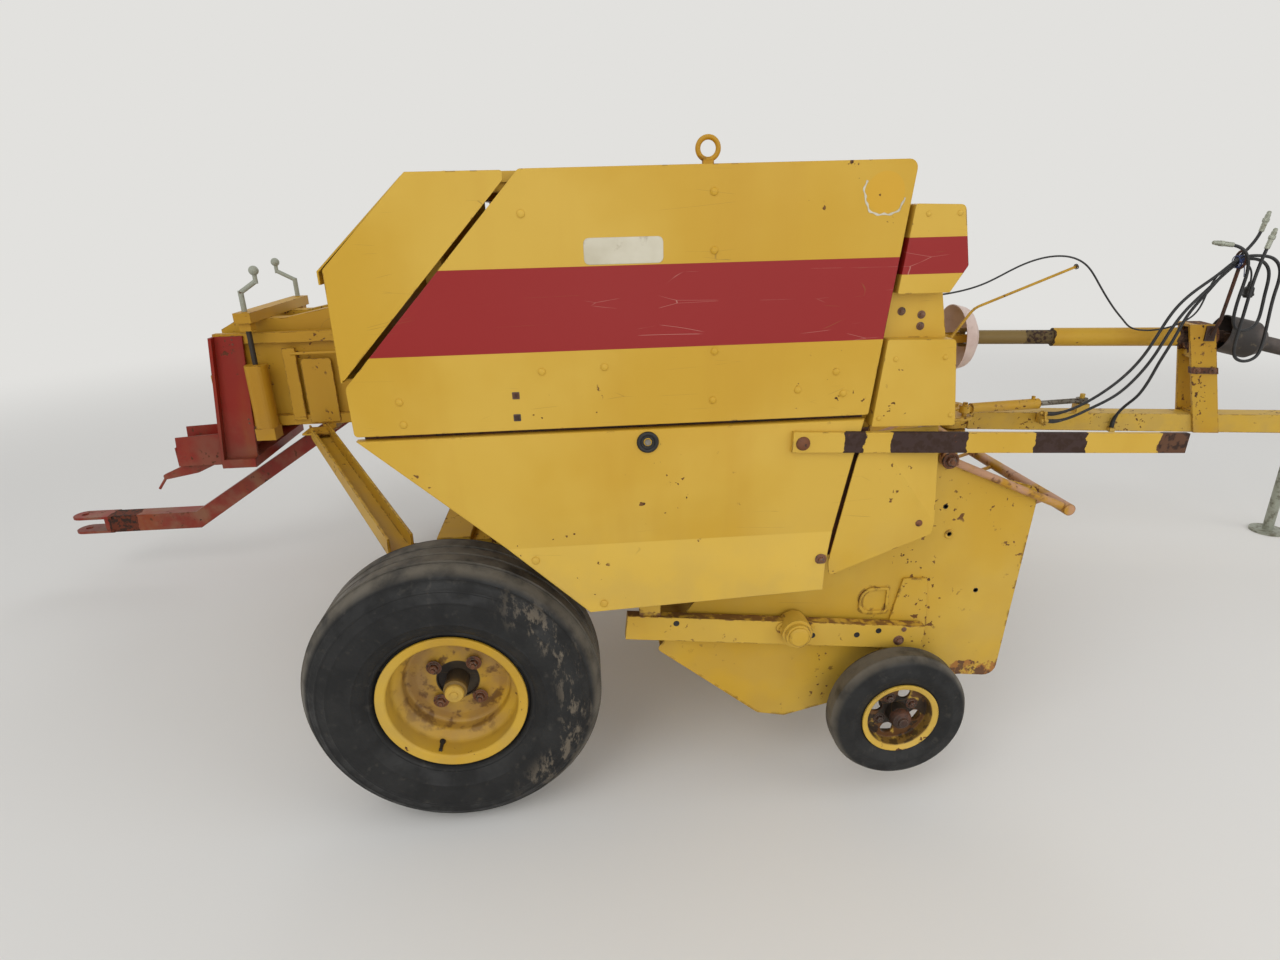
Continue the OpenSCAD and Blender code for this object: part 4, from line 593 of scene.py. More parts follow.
def gauge_wear(f):
    """The small wheel has rusted inside its flange, and grease has blackened its hub."""
    centre = f.off_axis(GAUGE, Y)
    inside = f.ramp(centre, 0.094, 0.1, (1, 0))
    f.layer(f.both(inside, f.spots(22.0, 0.34, 0.44, detail=5)), paint("#54301C"), 0.95)
    f.layer(f.both(inside, f.spots(26.0, 0.5, 0.56, detail=5, shift=7)), paint("#1F1A17"), 0.9)
    f.layer(f.ramp(centre, 0.046, 0.062, (1, 0)), paint("#1F1A17"))


def crank_metals(f):
    """Cranks over the crossbar are plated; the screws under it show dark steel between the spring covers."""
    height = f.along(Z)
    f.layer(f.between(height, 1.122, 1.267), paint("#352F29"))
    f.layer(f.between(height, 1.3485, 3.0), settings("paint").zinc)


def rubbed(f):
    """Paint rubbed thin by crop shows pink primer in long patches."""
    f.layer(f.spots(14.0, 0.42, 0.58, detail=5, shift=3.0), paint("#B58A74"), 0.8)
    f.layer(f.spots(20.0, 0.58, 0.66, detail=6, shift=9.0), settings("paint").rust, 0.8)


def label_ghost(f):
    """The paint under a round label that came off has kept its colour."""
    centre = (ROUND_LABEL[0], 0, ROUND_LABEL[1])
    f.layer(f.ramp(f.off_axis(centre, Y), 0.044, 0.047, (1, 0)), paint("#C9981F"), 0.6)


def rail_seam(f):
    """Rust has come through along the weld in the middle of the pickup's side rail."""
    across = (np.sin(RAIL_TILT), 0.0, np.cos(RAIL_TILT))
    weld = f.zone([(across, 0.687, 0.699), (Y, 0.055, 0.10)], ragged=0.004)
    f.layer(f.both(weld, f.spots(26.0, 0.36, 0.52, detail=5)), paint("#6A452A"), 0.9)


def corner_rust(f):
    """Stubble has worn the lower front corners of the pickup's sheets to orange rust."""
    corner = f.zone([(X, 1.50, 1.70), (Z, 0.28, 0.372)], ragged=0.02)
    f.layer(f.both(corner, f.spots(30.0, 0.4, 0.5, detail=5, shift=2)), paint("#9A5B24"), 0.85)
    f.layer(f.both(corner, f.spots(55.0, 0.5, 0.56, detail=5, shift=5)), paint("#54301C"), 0.9)


def painted_light_below_fold(f):
    """Below its fold the lower shield leans out; the strip there is painted paler, as painted light that the
    tilted sheet catches.
    """
    # Painted light: the sheet below the fold is made paler than the sheet above it.
    f.layer(f.ramp(f.along(Z), FOLD_AT - 0.002, FOLD_AT + 0.001, (1, 0)), paint("#D2AE4A"), 0.75)


def slim_shaft(f):
    """The rear tube of the driveline is thinner, and its paint has gone brown."""
    s = float(np.dot(FORWARD, PIVOT))
    f.layer(f.between(f.along(FORWARD), s - 0.2, s + 0.43), paint("#6F5D38"), 0.9)


def enamels():
    """Enamelled finishes: name, main colour, colour of the patches, wear, and what only this one has."""
    c, shield = settings("paint"), settings("shields")
    s, t = float(np.dot(FORWARD, PIVOT)), float(np.dot(SIDEWAYS, PIVOT))
    tape = paint("#3C2C28")
    band = [([(Z, shield.stripe_low, shield.stripe_high)], tuple(c.stripe))]
    cover_band = [([(Z, shield.cover_low, shield.cover_high)], tuple(c.stripe))]
    # Black tape on the guard rail, and its bare end
    rail_tape = [([(X, a, b)], tape) for a, b in ((1.07, 1.127), (1.196, 1.401), (1.582, 1.727))]
    rail_tape += [([(X, 1.93, 2.02)], paint("#5B3E2C"))]
    shaft_rust = [
        ([(FORWARD, s + 0.30, s + 0.435), (Z, 1.0, 1.2)], paint("#5F4F33")),
        ([(FORWARD, s + 1.0, s + 1.4), (Z, 0.9, 1.3)], paint("#4A3526")),
    ]
    near_bearing = [(FORWARD, s + 1.06, s + 1.18), (SIDEWAYS, t - 0.06, t + 0.06), (Z, 1.0, 1.14)]
    bearing = [(near_bearing, paint("#6B4328"))]
    arm_rust = [([(X, -1.99, -1.85), (Y, 1.7, 2.0)], paint("#64301F"))]
    worn = paint("#A9812F")
    return {
        "sheet": ("Sprayed enamel on sheet", c.sheet, c.sheet_faded, 0.05, {}),
        "shield": (
            "Sprayed enamel with painted band", c.sheet, c.sheet_faded, 0.05,
            {"bands": band, "extra": label_ghost},
        ),
        "cover": ("Sprayed enamel on front covers", c.sheet_faded, c.sheet, 0.1, {"bands": cover_band}),
        # The lower shield's enamel has a painted highlight below its fold.
        "lower": ("Sprayed enamel on folded sheet", c.sheet, c.sheet_faded, 0.1, {"extra": painted_light_below_fold}),
        "frame": (
            "Brushed enamel on rolled section", paint("#BA8C24"), c.sheet, 0.9, {"grime": 0.4, "rim": 0.009}
        ),
        "rail": ("Enamel on guard rail", c.sheet, c.sheet_faded, 0.3, {"bare": rail_tape}),
        "drawbar": ("Enamel on drawbar", c.sheet, c.sheet_faded, 0.85, {"rim": 0.009}),
        "pedestal": ("Enamel on bearing posts", c.ochre, c.sheet, 0.9, {"bare": bearing, "rim": 0.009}),
        "shaft": (
            "Enamel on driveline tubes", c.sheet, c.ochre, 0.4, {"bare": shaft_rust, "extra": slim_shaft}
        ),
        "pickup": (
            "Worn enamel on pickup sheets", c.sheet, c.sheet_faded, 0.68,
            {"grime": 0.12, "extra": corner_rust, "rim": 0.014},
        ),
        "rail_side": (
            "Worn enamel on pickup rail", c.sheet_faded, c.sheet, 0.6, {"grime": 0.1, "extra": rail_seam}
        ),
        "guard_arm": ("Rubbed enamel on wind guard", c.ochre, worn, 0.95, {"extra": rubbed}),
        # The pressed wheels' enamel has painted shade round the hub.
        "rim": ("Enamel on pressed wheels", c.sheet_faded, c.sheet, 0.15, {"grime": 0.2, "extra": rim_wear_and_hub_shade}),
        "gauge_rim": (
            "Worn enamel on gauge wheel", paint("#CFAE52"), c.sheet_faded, 0.6,
            {"grime": 0.1, "extra": gauge_wear},
        ),
        "cranks": ("Enamel and zinc on tension gear", c.ochre, c.sheet, 0.4, {"extra": crank_metals}),
        "red": ("Chipped red enamel", c.hitch_red, paint("#7A3326"), 0.75, {"grime": 0.4, "bare": arm_rust}),
    }


def other_finishes():
    """Finishes without enamel: the function that makes each, and what that takes."""
    c = settings("paint")
    return {
        "tyre": (tyre_rubber, "Vulcanised tyre rubber", (0, 0, AXLE_Z), 0.404, 0.6),
        "gauge_tyre": (tyre_rubber, "Vulcanised rubber of the gauge wheel", GAUGE, 0.195, 0.01),
        "rust": (rusty_steel, "Rusted rolled steel", c.rust, paint("#74472A")),
        "scale": (rusty_steel, "Oiled mill scale", c.rust_dark, c.rust),
        "steel": (rusty_steel, "Worn oiled steel", c.steel, paint("#6E675A"), 0.6),
        "zinc": (plated, "Dull zinc plate", c.zinc),
        "cone": (plastic, "Faded polyethylene", c.cone, paint("#C3ABA1"), 0.5, 0.2),
        "guard": (plastic, "Dusty black polyethylene", paint("#35302D"), paint("#5A4F49"), 0.6),
        "dark": (plastic, "Black nylon", paint("#1D1C1B"), paint("#2B2927"), 0.5, 0.3),
        "twine": (plastic, "Blue polypropylene twine", paint("#2F3D6B"), paint("#49598C"), 0.6, 0.2),
        "label": (plastic, "Blank vinyl label", c.blank, paint("#B7AF98"), 0.45, 0.5),
        "hose": (hose_rubber,),
    }


FINISHES = {}


def finish(name):
    """The material for a name, made when it is first asked for."""
    if name not in FINISHES:
        painted = enamels()
        if name in painted:
            *values, special = painted[name]
            FINISHES[name] = enamel(*values, **special)
        else:
            make, *values = other_finishes()[name]
            FINISHES[name] = make(*values)
    return FINISHES[name]


def fixings(name, shape, places, look, body="chassis", outward=-Y):
    """Copies of one bolt, cup or cap, drawn round +Z and turned outward, as a single piece."""
    mesh_piece(name, turned(shape, places, outward), body, finish(look))


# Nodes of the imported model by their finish; the rest are rolled section
NODE_FINISH = {
    "shield": ["side_shield"],
    "cover": ["front_cover"],
    "sheet": ["lower_shield", "rear_cover", "twine_door", "top_deck", "corner_plate"],
    "rail": ["guard_rail"],
    "drawbar": ["drawbar"],
    "pedestal": ["pedestal"],
    "shaft": ["driveline"],
    "pickup": ["pickup_ends", "pickup_pan", "strippers", "gauge_axle"],
    "rail_side": ["side_rail"],
    "guard_arm": ["windguard"],
    "rim": ["wheel_right", "wheel_left"],
    "gauge_rim": ["gauge_rim"],
    "cranks": ["tension_gear"],
    "tyre": ["tyre_right", "tyre_left"],
    "gauge_tyre": ["gauge_tyre"],
    "red": ["hitch_posts", "hitch_arm", "chute_bracket"],
    "rust": ["reel", "plunger", "front_shaft"],
    "scale": ["knotters", "needles", "hose_stand"],
    "zinc": ["jack_leg"],
    "steel": ["ram_rod"],
    "cone": ["cone_guard"],
    "guard": ["front_guard"],
    "hose": ["hose_1", "hose_2", "hose_3", "cable_1"],
}


class BALER_OT_finishes(bpy.types.Operator):
    """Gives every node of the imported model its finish"""

    bl_idname = "baler.finishes"
    bl_label = "Finishes"

    def execute(self, context):
        chosen = {node: name for name, group in NODE_FINISH.items() for node in group}
        for name, node in nodes.items():
            material = finish(chosen.get(name, "frame"))
            for slot in node.material_slots:
                slot.material = material
        return {"FINISHED"}


# Hoses and cable: millimetres along, across and above the drawbar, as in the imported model

HOSE_1 = [
    (420, -128, 704), (455, -128, 704), (515, -130, 722), (590, -135, 765), (680, -135, 835),
    (755, -135, 915), (815, -135, 1010), (860, -135, 1120), (905, -135, 1220), (970, -135, 1300),
    (1060, -134, 1380), (1133, -132, 1444), (1205, -132, 1455), (1270, -136, 1440), (1305, -142, 1385),
    (1305, -145, 1285), (1305, -149, 1165), (1305, -153, 1055), (1285, -163, 1000), (1235, -172, 980),
    (1186, -181, 1000), (1164, -191, 1055), (1165, -195, 1167), (1168, -198, 1291), (1178, -197, 1408),
    (1200, -195, 1530),
]
HOSE_2 = [
    (420, -152, 672), (455, -152, 672), (520, -152, 691), (610, -152, 740), (710, -152, 805),
    (785, -152, 890), (845, -152, 995), (890, -152, 1110), (940, -150, 1210), (1015, -138, 1300),
    (1102, -126, 1396), (1158, -118, 1436), (1230, -116, 1432), (1272, -119, 1385), (1280, -121, 1285),
    (1280, -125, 1190), (1260, -137, 1140), (1210, -150, 1120), (1160, -164, 1140), (1140, -174, 1190),
    (1140, -180, 1300), (1143, -180, 1415), (1105, -178, 1487), (1020, -176, 1512),
]
HOSE_3 = [
    (765, -68, 620), (766, -69, 655), (779, -81, 705), (803, -100, 752), (830, -116, 795),
    (865, -121, 875), (890, -125, 960), (920, -124, 1040), (950, -118, 1120), (980, -113, 1195),
    (1025, -110, 1270), (1070, -107, 1340), (1113, -106, 1408), (1155, -102, 1462), (1200, -98, 1530),
    (1218, -97, 1600),
]
CABLE = [
    (-357, -340, 1252), (-357, -340, 1274), (-340, -360, 1302), (-275, -401, 1320), (-170, -401, 1335),
    (-40, -377, 1370), (85, -350, 1430), (200, -325, 1470), (320, -300, 1475), (415, -280, 1435),
    (495, -261, 1345), (580, -249, 1240), (650, -208, 1180), (735, -134, 1130), (835, -98, 1115),
    (940, -88, 1135), (1025, -85, 1195), (1058, -78, 1292), (1090, -84, 1376), (1146, -106, 1426),
    (1202, -104, 1396), (1220, -100, 1318),
]
# Each hose with its route and its real length
HOSES = (("hose_1", HOSE_1, 2.32), ("hose_2", HOSE_2, 2.07), ("hose_3", HOSE_3, 1.10))
HOSE_POINTS, CABLE_POINTS, CABLE_LENGTH = 300, 360, 2.11
# Points between which the cable passes from the machine to the drawbar
CABLE_PLUG = [
    (-0.022, 0.0045), (-0.02, 0.007), (0.0, 0.011), (0.006, 0.018), (0.01, 0.021), (0.034, 0.021),
    (0.036, 0.0235), (0.044, 0.0235), (0.046, 0.019), (0.052, 0.018),
]
# Tip of the cable's arm, on the drawing
ARM_TIP = np.array([2.648, 1.5, 1.4295])


def end_fitting(line, profile, steps=20):
    """A turned fitting at the end of a line, drawn as (distance past the end, radius), pointing the way it
    runs."""
    reach, radii = np.array(profile).T
    return turned(stack(radii, reach, steps), [line[-1]], line[-1] - line[-4])


def strain_relief(line, start, run, radii):
    """Sleeve that narrows along the first part of a line, from start for the given run."""
    step = np.linalg.norm(line[1] - line[0])
    part = line[int(start / step) : int((start + run) / step) + 2]
    return tube(part, np.linspace(radii[0], radii[1], len(part)), SIDEWAYS, 18)


def coupler(line, r):
    """Quick coupler: crimped sleeve, six-sided collar and a bare nose."""
    crimp = [(-0.044, r + 0.0008), (-0.042, 0.0105), (-0.004, 0.0105), (0.0, 0.009)]
    collar = [(-0.002, 0.0122), (0.0, 0.0138), (0.013, 0.0138), (0.015, 0.0122)]
    nose = [(0.014, 0.0105), (0.03, 0.0105), (0.032, 0.0088), (0.042, 0.0088), (0.046, 0.005)]
    return joined([end_fitting(line, crimp), end_fitting(line, collar, 6), end_fitting(line, nose)])


class BALER_OT_cords(bpy.types.Operator):
    """Hydraulic hoses and the control cable with their couplers, sleeves and ties"""

    bl_idname = "baler.cords"
    bl_label = "Hoses and cable"

    def execute(self, context):
        hose, cable = settings("hoses").hose, settings("hoses").cable
        for node, route, real_length in HOSES:
            line = smooth_line(on_drawbar(route), HOSE_POINTS)
            shape = tube(line, hose / 2, SIDEWAYS)
            piece = mesh_piece(node + "_rubber", shape, "draw_bar", finish("hose"), 1.2)
            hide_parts(node)
            ferrule = strain_relief(line, 0.0, 0.028, (0.0105, 0.0105))
            sleeve = joined([ferrule, strain_relief(line, 0.022, 0.045, (0.0112, 0.0076))])
            fitting = coupler(line, hose / 2)
            ends = [
                mesh_piece(node + "_coupler", fitting, "draw_bar", finish("zinc")),
                mesh_piece(node + "_sleeve", sleeve, "draw_bar", finish("dark")),
            ]
        line = smooth_line(on_drawbar(CABLE), CABLE_POINTS)
        shape = tube(line, cable / 2, SIDEWAYS)
        piece = mesh_piece("cable_1_sheath", shape, None, finish("hose"), 1.2)
        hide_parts("cable_1")
        plug, relief = end_fitting(line, CABLE_PLUG), strain_relief(line, 0.0, 0.03, (0.0078, 0.0044))
        ends = [
            mesh_piece("cable_1_plug", plug, "draw_bar", finish("dark")),
            mesh_piece("cable_1_relief", relief, "chassis", finish("dark")),
        ]
        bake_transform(piece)
        self.ties()
        return {"FINISHED"}

    def ties(self):
        """Blue twine round the bundle at the ring: six turns whose radius wobbles as they creep along it, and
        a hanging tail, z = top - drop u squared. Two bands hold the cable to the tip of its arm."""
        t = np.linspace(0, 2 * np.pi * 6, 240)
        wobble = 26.5 + 1.6 * np.sin(2.7 * t)
        coil = np.stack([1124 + 1.9 * t / 2.2, -117 + wobble * np.cos(t), 1428 + wobble * np.sin(t)], 1)
        u = np.linspace(0, 1, 30)
        tail = np.stack([np.linspace(1140, 1150, 30), np.linspace(-146, -158, 30), 1425 - 60 * u**2], 1)
        twine = joined([tube(on_drawbar(line), 0.0019, FORWARD, 8) for line in (coil, tail)])
        mesh_piece("hose_tie", twine, "draw_bar", finish("twine"), 1.2)
        bands = ((ARM_TIP, (0.94, 0, 0.34)), (ARM_TIP + (0.006, 0, 0.002), (0.9, 0, 0.4)))
        band = joined([hoop(place, axis, 0.0105, 0.0018, 24, 8) for place, axis in bands])
        mesh_piece("cable_tie", band, "chassis", finish("dark"))


# Wheels

TYRE_WIDTH, TREAD_RADIUS, GROOVE_BOTTOM = 0.290, 0.4225, 0.4065
# How far the tyre's wall stands out of the track's line
WALL = 0.0275
# Places of two grooves as shares of the width; the other two mirror them
GROOVES = (0.25, 0.42)
# Half a section as (radius, distance from the wall), from the bead to the shoulder
MAIN_TYRE = [
    (0.1915, 0.060), (0.1965, 0.050), (0.2045, 0.046), (0.212, 0.044), (0.2165, 0.046), (0.2185, 0.043),
    (0.221, 0.034), (0.226, 0.026), (0.231, 0.0235), (0.234, 0.0245), (0.2365, 0.022), (0.245, 0.0155),
    (0.258, 0.0085), (0.2665, 0.0055), (0.2685, 0.0035), (0.2715, 0.0035), (0.274, 0.0042), (0.286, 0.0016),
    (0.302, 0.0004), (0.318, 0.0002), (0.331, 0.0015), (0.3335, 0.0004), (0.3375, 0.0006), (0.340, 0.0028),
    (0.352, 0.0062), (0.362, 0.0105), (0.3645, 0.0098), (0.368, 0.0112), (0.3705, 0.0150), (0.381, 0.0215),
    (0.3875, 0.0265), (0.3905, 0.0320), (0.3945, 0.0335), (0.398, 0.0350), (0.406, 0.0450), (0.4125, 0.0560),
    (0.4175, 0.0650),
]
# Main wheel: studs' circle, and depths behind the track's line of the studs, the valve and the hub cap
STUD_RADIUS, STUD_DEPTH, VALVE_DEPTH, CAP_DEPTH = 0.082, 0.1035, 0.060, 0.0515
# Place of the valve from the axle's middle
VALVE = (-0.055, -0.174)
# Gauge wheel: studs' circle, and the y of its disc and of its hub's end
GAUGE_STUDS, GAUGE_DISC, GAUGE_HUB = 0.052, -0.0105, -0.041


def tyre_outline(half):
    """Outer half of a section with its grooves, from the bead to the middle of the tread, then the same
    mirrored."""
    width = settings("wheels").groove / 2
    outer = list(half)
    for share in GROOVES:
        y = TYRE_WIDTH * share
        shoulder = outer[-1][0] if share == GROOVES[0] else TREAD_RADIUS
        outer += [(shoulder, y - width - 0.001), (0.4205, y - width), (GROOVE_BOTTOM, y - width + 0.002)]
        outer += [(GROOVE_BOTTOM, y + width - 0.002), (0.4205, y + width), (TREAD_RADIUS, y + width + 0.001)]
    return np.array(outer + [(r, TYRE_WIDTH - y) for r, y in outer[::-1]])


def circle(centre, radius, y, first, turn=1.0):
    """Four places (x, y, z) a quarter turn apart round a centre (x, z), the first at the given degrees."""
    angles = np.radians(first + 90 * np.arange(4))
    x, z = centre[0] + radius * np.cos(angles), centre[1] + turn * radius * np.sin(angles)
    return np.stack([x, np.full(4, y), z], 1)


class BALER_OT_wheels(bpy.types.Operator):
    """Ribbed main tyres, wheel nuts, valves and hub caps"""

    bl_idname = "baler.wheels"
    bl_label = "Wheels"

    def execute(self, context):
        wheels = settings("wheels")
        section = tyre_outline(MAIN_TYRE) - (0, WALL)
        stem = stack([0.009, 0.009, 0.0055, 0.0045, 0.0045], [-0.002, 0.004, 0.01, 0.03, 0.032], 14)
        valve = joined([stem, stack([0.0052, 0.0052, 0.004], [0.03, 0.04, 0.042], 12)])
        cap = stack(
            [0.028, 0.028, 0.025, 0.012, 0.011, 0.006], [-0.002, 0.006, 0.010, 0.0115, 0.015, 0.016], 24
        )
        for side, face, out in (("right", 0.0, -1.0), ("left", TRACK, 1.0)):
            body, outward = side + "_wheel", (0, out, 0)
            tyre = revolve(section, (0, face, AXLE_Z), (0, -out, 0), wheels.steps)
            piece = mesh_piece("tread_" + side, tyre, body, finish("tyre"), 0.5)
            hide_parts("tyre_" + side)
            studs = circle((0, AXLE_Z), STUD_RADIUS, face - out * STUD_DEPTH, 41, out)
            fixings("nuts_" + side, hex_bolt(wheels.nut, 0.008), studs, "rust", body, outward)
            foot = (VALVE[0], face - out * VALVE_DEPTH, AXLE_Z + VALVE[1])
            fixings("valve_" + side, valve, [foot], "dark", body, outward)
            middle = (0, face - out * CAP_DEPTH, AXLE_Z)
            fixings("cap_" + side, cap, [middle], "sheet", body, outward)
        x, z = GAUGE[0], GAUGE[2]
        studs = circle((x, z), GAUGE_STUDS, GAUGE_DISC, 25)
        fixings("gauge_nuts", hex_bolt(0.019, 0.004), studs, "scale", "gauge_wheel")
        hub = stack([0.031, 0.031, 0.026, 0.016, 0.013], [-0.002, 0.012, 0.020, 0.024, 0.032], 20)
        fixings("gauge_cap", hub, [(x, GAUGE_HUB, z)], "scale", "gauge_wheel")
        return {"FINISHED"}


# Shields

# Places (x, z) on the shields' face
SHIELD_BOLTS = [
    (0.73, 1.748), (0.732, 1.621), (0.294, 1.711), (0.735, 1.387), (0.467, 1.359), (0.316, 1.354),
    (-0.028, 1.293), (-0.025, 1.237), (0.732, 1.266), (0.946, 1.283), (1.041, 1.325), (1.063, 1.269),
]
SHIELD_SLOTS = [(0.25, 1.298), (0.249, 1.243)]
LOWER_BOLTS, CORNER_BOLT = [(0.266, 0.855), (0.44, 0.724)], (1.031, 0.813)
COVER_BOLTS = [(1.236, 1.689), (1.312, 1.689), (1.191, 1.35), (1.318, 1.35), (1.35, 1.20), (1.162, 1.20)]
COVER_STUDS, STUDS_Y = [(1.262, 1.452), (1.262, 1.424), (1.210, 1.462)], 0.0385
PLATE_BOLTS, RAIL_BOLT = [(1.202, 1.128), (1.168, 1.14), (1.30, 0.90)], (0.963, -0.014, 1.146)
LATCH = (0.568, 1.165)
LOWER_OUTLINE = [
    (-0.145, 1.199), (1.126, 1.199), (1.104, 1.095), (1.063, 0.891), (1.046, 0.802), (1.040, 0.724),
    (0.401, 0.700), (0.192, 0.891),
]
# Corners of the panel above and below its fold; 3 and 7 lie on it
UPPER, LOWER = [0, 1, 2, 3, 7], [3, 4, 5, 6, 7]
# Flanges behind the joints between the panels
LAPS = [
    [(1.150, 1.168), (1.112, 1.168), (1.034, 0.806), (1.072, 0.806)],
    [(-0.130, 1.188), (1.128, 1.188), (1.128, 1.222), (-0.130, 1.222)],
]
DECK_BOLTS = [(x, y, 1.802) for x in (0.12, 0.45, 0.80, 1.13) for y in (0.10, 1.30)]


def folded(points):
    """Faces of the lower shield: flat down to the fold, then turned outwards: y = -(fold - z) tan a."""
    p = np.asarray(points, float)
    drop = np.maximum(0, FOLD_AT - p[:, 1]) * np.tan(settings("shields").fold)
    return np.stack([p[:, 0], -drop, p[:, 1]], 1)


def lower_panel():
    """Sheet with a fold and with edges turned in: rings of the outline go from the face round a small radius
    to the back of the turned edge; two faces close the front on both sides of the fold, and two the back."""
    front = folded(np.array(LOWER_OUTLINE))
    inward = front.mean(0) - front
    inward[:, 1] = 0
    inward /= np.linalg.norm(inward, axis=1, keepdims=True)
    radius, depth, gauge = 0.007, 0.024, 0.003
    rings = [
        front + inward * (radius * (1 - np.sin(t))) + Y * (radius * (1 - np.cos(t)))
        for t in np.linspace(0, np.pi / 2, 5)
    ]
    rings += [front + Y * depth, front + inward * gauge + Y * depth]
    rings.append(front + inward * (radius + gauge) + Y * gauge)
    faces = [list(f) for f in grid_faces(len(rings), len(front), wrap_columns=True)]
    last = (len(rings) - 1) * len(front)
    faces += [UPPER, LOWER, [last + k for k in UPPER[::-1]], [last + k for k in LOWER[::-1]]]
    return np.concatenate(rings), faces


def label_remains():
    """The edge that is left of a round label: an arc whose radius and width wander,
    centre + R(t) (cos t, sin t), carried as a thin strip."""
    t = np.linspace(np.radians(150), np.radians(345), 60)
    wander = 0.050 + 0.0022 * np.sin(5 * t) + 0.0012 * np.sin(13 * t)
    half = 0.0016 + 0.0012 * np.sin(9 * t) ** 2
    spoke = np.stack([np.cos(t), 0 * t, np.sin(t)], 1)
    arc = np.array([ROUND_LABEL[0], 0, ROUND_LABEL[1]]) + spoke * wander[:, None]
    out, back, face = spoke * half[:, None], Y * 0.0004, Y * -0.0006
    return capped(np.stack([arc - out + back, arc - out + face, arc + out + face, arc + out + back], 1))


class BALER_OT_shields(bpy.types.Operator):
    """Folded lower shield, bolts, latch, slots, blank labels and flanges of the right side"""

    bl_idname = "baler.shields"
    bl_label = "Shields"

    def execute(self, context):
        width = settings("shields").bolt
        shape = lower_panel()
        panel = mesh_piece("lower_shield_sheet", shape, "chassis", finish("lower"), 0.5)
        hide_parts("lower_shield")
        places = on_face(SHIELD_BOLTS)
        fixings("shield_bolts", dome_bolt(width * 0.8), places, "shield", "shield_door")
        squares = [rounded((x - 0.009, x + 0.009), (z - 0.009, z + 0.009), 0.002) for x, z in SHIELD_SLOTS]
        slots = joined([prism(square, -0.0007, 0.002, shrink=0.0004) for square in squares])
        mesh_piece("shield_slots", slots, "shield_door", finish("scale"))
        fixings("lower_bolts", dome_bolt(0.018), folded(LOWER_BOLTS), "sheet")
        fixings("corner_bolt", hex_bolt(0.017, 0.004), folded([CORNER_BOLT]), "rust")
        self.latch()
        label = prism(rounded((0.430, 0.613), (1.597, 1.656), 0.012), -0.0006, 0.0005, shrink=0.0003)
        mesh_piece("blank_label", label, "shield_door", finish("label"))
        mesh_piece("label_edge", label_remains(), "shield_door", finish("label"))
        fixings("cover_bolts", dome_bolt(0.011), on_face(COVER_BOLTS), "cover")
        fixings("cover_studs", hex_bolt(0.011, 0.003), on_face(COVER_STUDS, STUDS_Y), "rust")
        fixings("corner_bolts", dome_bolt(0.016), on_face(PLATE_BOLTS), "rust")
        fixings("rail_bolt", dome_bolt(0.030), [RAIL_BOLT], "rust")
        flanges = joined([prism(outline, 0.0285, 0.0325, shrink=0.001) for outline in LAPS])
        mesh_piece("lap_flanges", flanges, "chassis", finish("scale"))
        fixings("deck_bolts", dome_bolt(0.020), DECK_BOLTS, "sheet", outward=Z)
        return {"FINISHED"}

    def latch(self):
        """Rubber ring round a socket in which the key sits."""
        x, z = LATCH
        socket = stack([0.020, 0.020, 0.012, 0.010], [-0.002, 0.0012, 0.0016, -0.0006], 28)
        ring = joined([hoop((x, -0.001, z), Y, 0.0225, 0.0055, 40, 12), turned(socket, [(x, 0, z)], -Y)])
        mesh_piece("latch_ring", ring, "chassis", finish("dark"))
        key = stack([0.0085, 0.0085, 0.007], [0.0, 0.004, 0.005], 6)
        fixings("latch_key", key, [(x, 0, z)], "steel")


# Pickup, chamber and drawbar

# Right end sheet of the pickup: its eye and its small holes
SHEET_EYE = (1.445, 0.100, 0.814)
SHEET_HOLES = [(1.424, 0.100, 0.901), (1.551, 0.100, 0.624), SHEET_EYE, (1.345, 0.0995, 0.602)]
# Side rail: holes as (x, z), the face they are in, and the large and the small bolt at the front end
RAIL_HOLES, RAIL_Y = [(0.644, 0.603), (1.044, 0.534), (1.178, 0.526), (1.243, 0.535)], 0.0538
RAIL_END_BOLTS = (1.307, 0.0537, 0.498), (1.320, 0.0537, 0.534)
HINGE_CAP, HINGE_BOLTS = (0.990, 0.010, 0.560), [(1.030, 0.052, 0.566), (0.952, 0.052, 0.566)]
GUARD_RING, GUARD_NUT = (1.404, 0.069, 1.050), (1.404, 0.071, 1.050)
# Posts of the chamber, half their width, their bolts' heights, and the outer faces of both walls' posts
POSTS, HALF_POST = (-1.130, -0.640, -0.260, 0.110, 0.560, 1.010, 1.420), 0.025
POST_BOLTS = (0.850, 0.868, 1.206, 1.226)
POST_FACES = (("right", 1.5945, -Y), ("left", 2.1255, Y))
# Strap round the near bearing post, in millimetres on the drawbar: its edges and thickness, the post's faces
STRAP_LOW, STRAP_HIGH, STRAP_GAUGE = 897, 928, 3.5
POST_NEAR, POST_FAR, POST_REAR, POST_FRONT = -66.4, -48.0, 1022, 1139
# Outline of the angle that bolts the cable's arm to the chamber
ARM_ANGLE = [(1.900, 0.905), (1.958, 0.905), (1.978, 0.917), (1.978, 0.9305), (1.958, 0.943), (1.900, 0.943)]


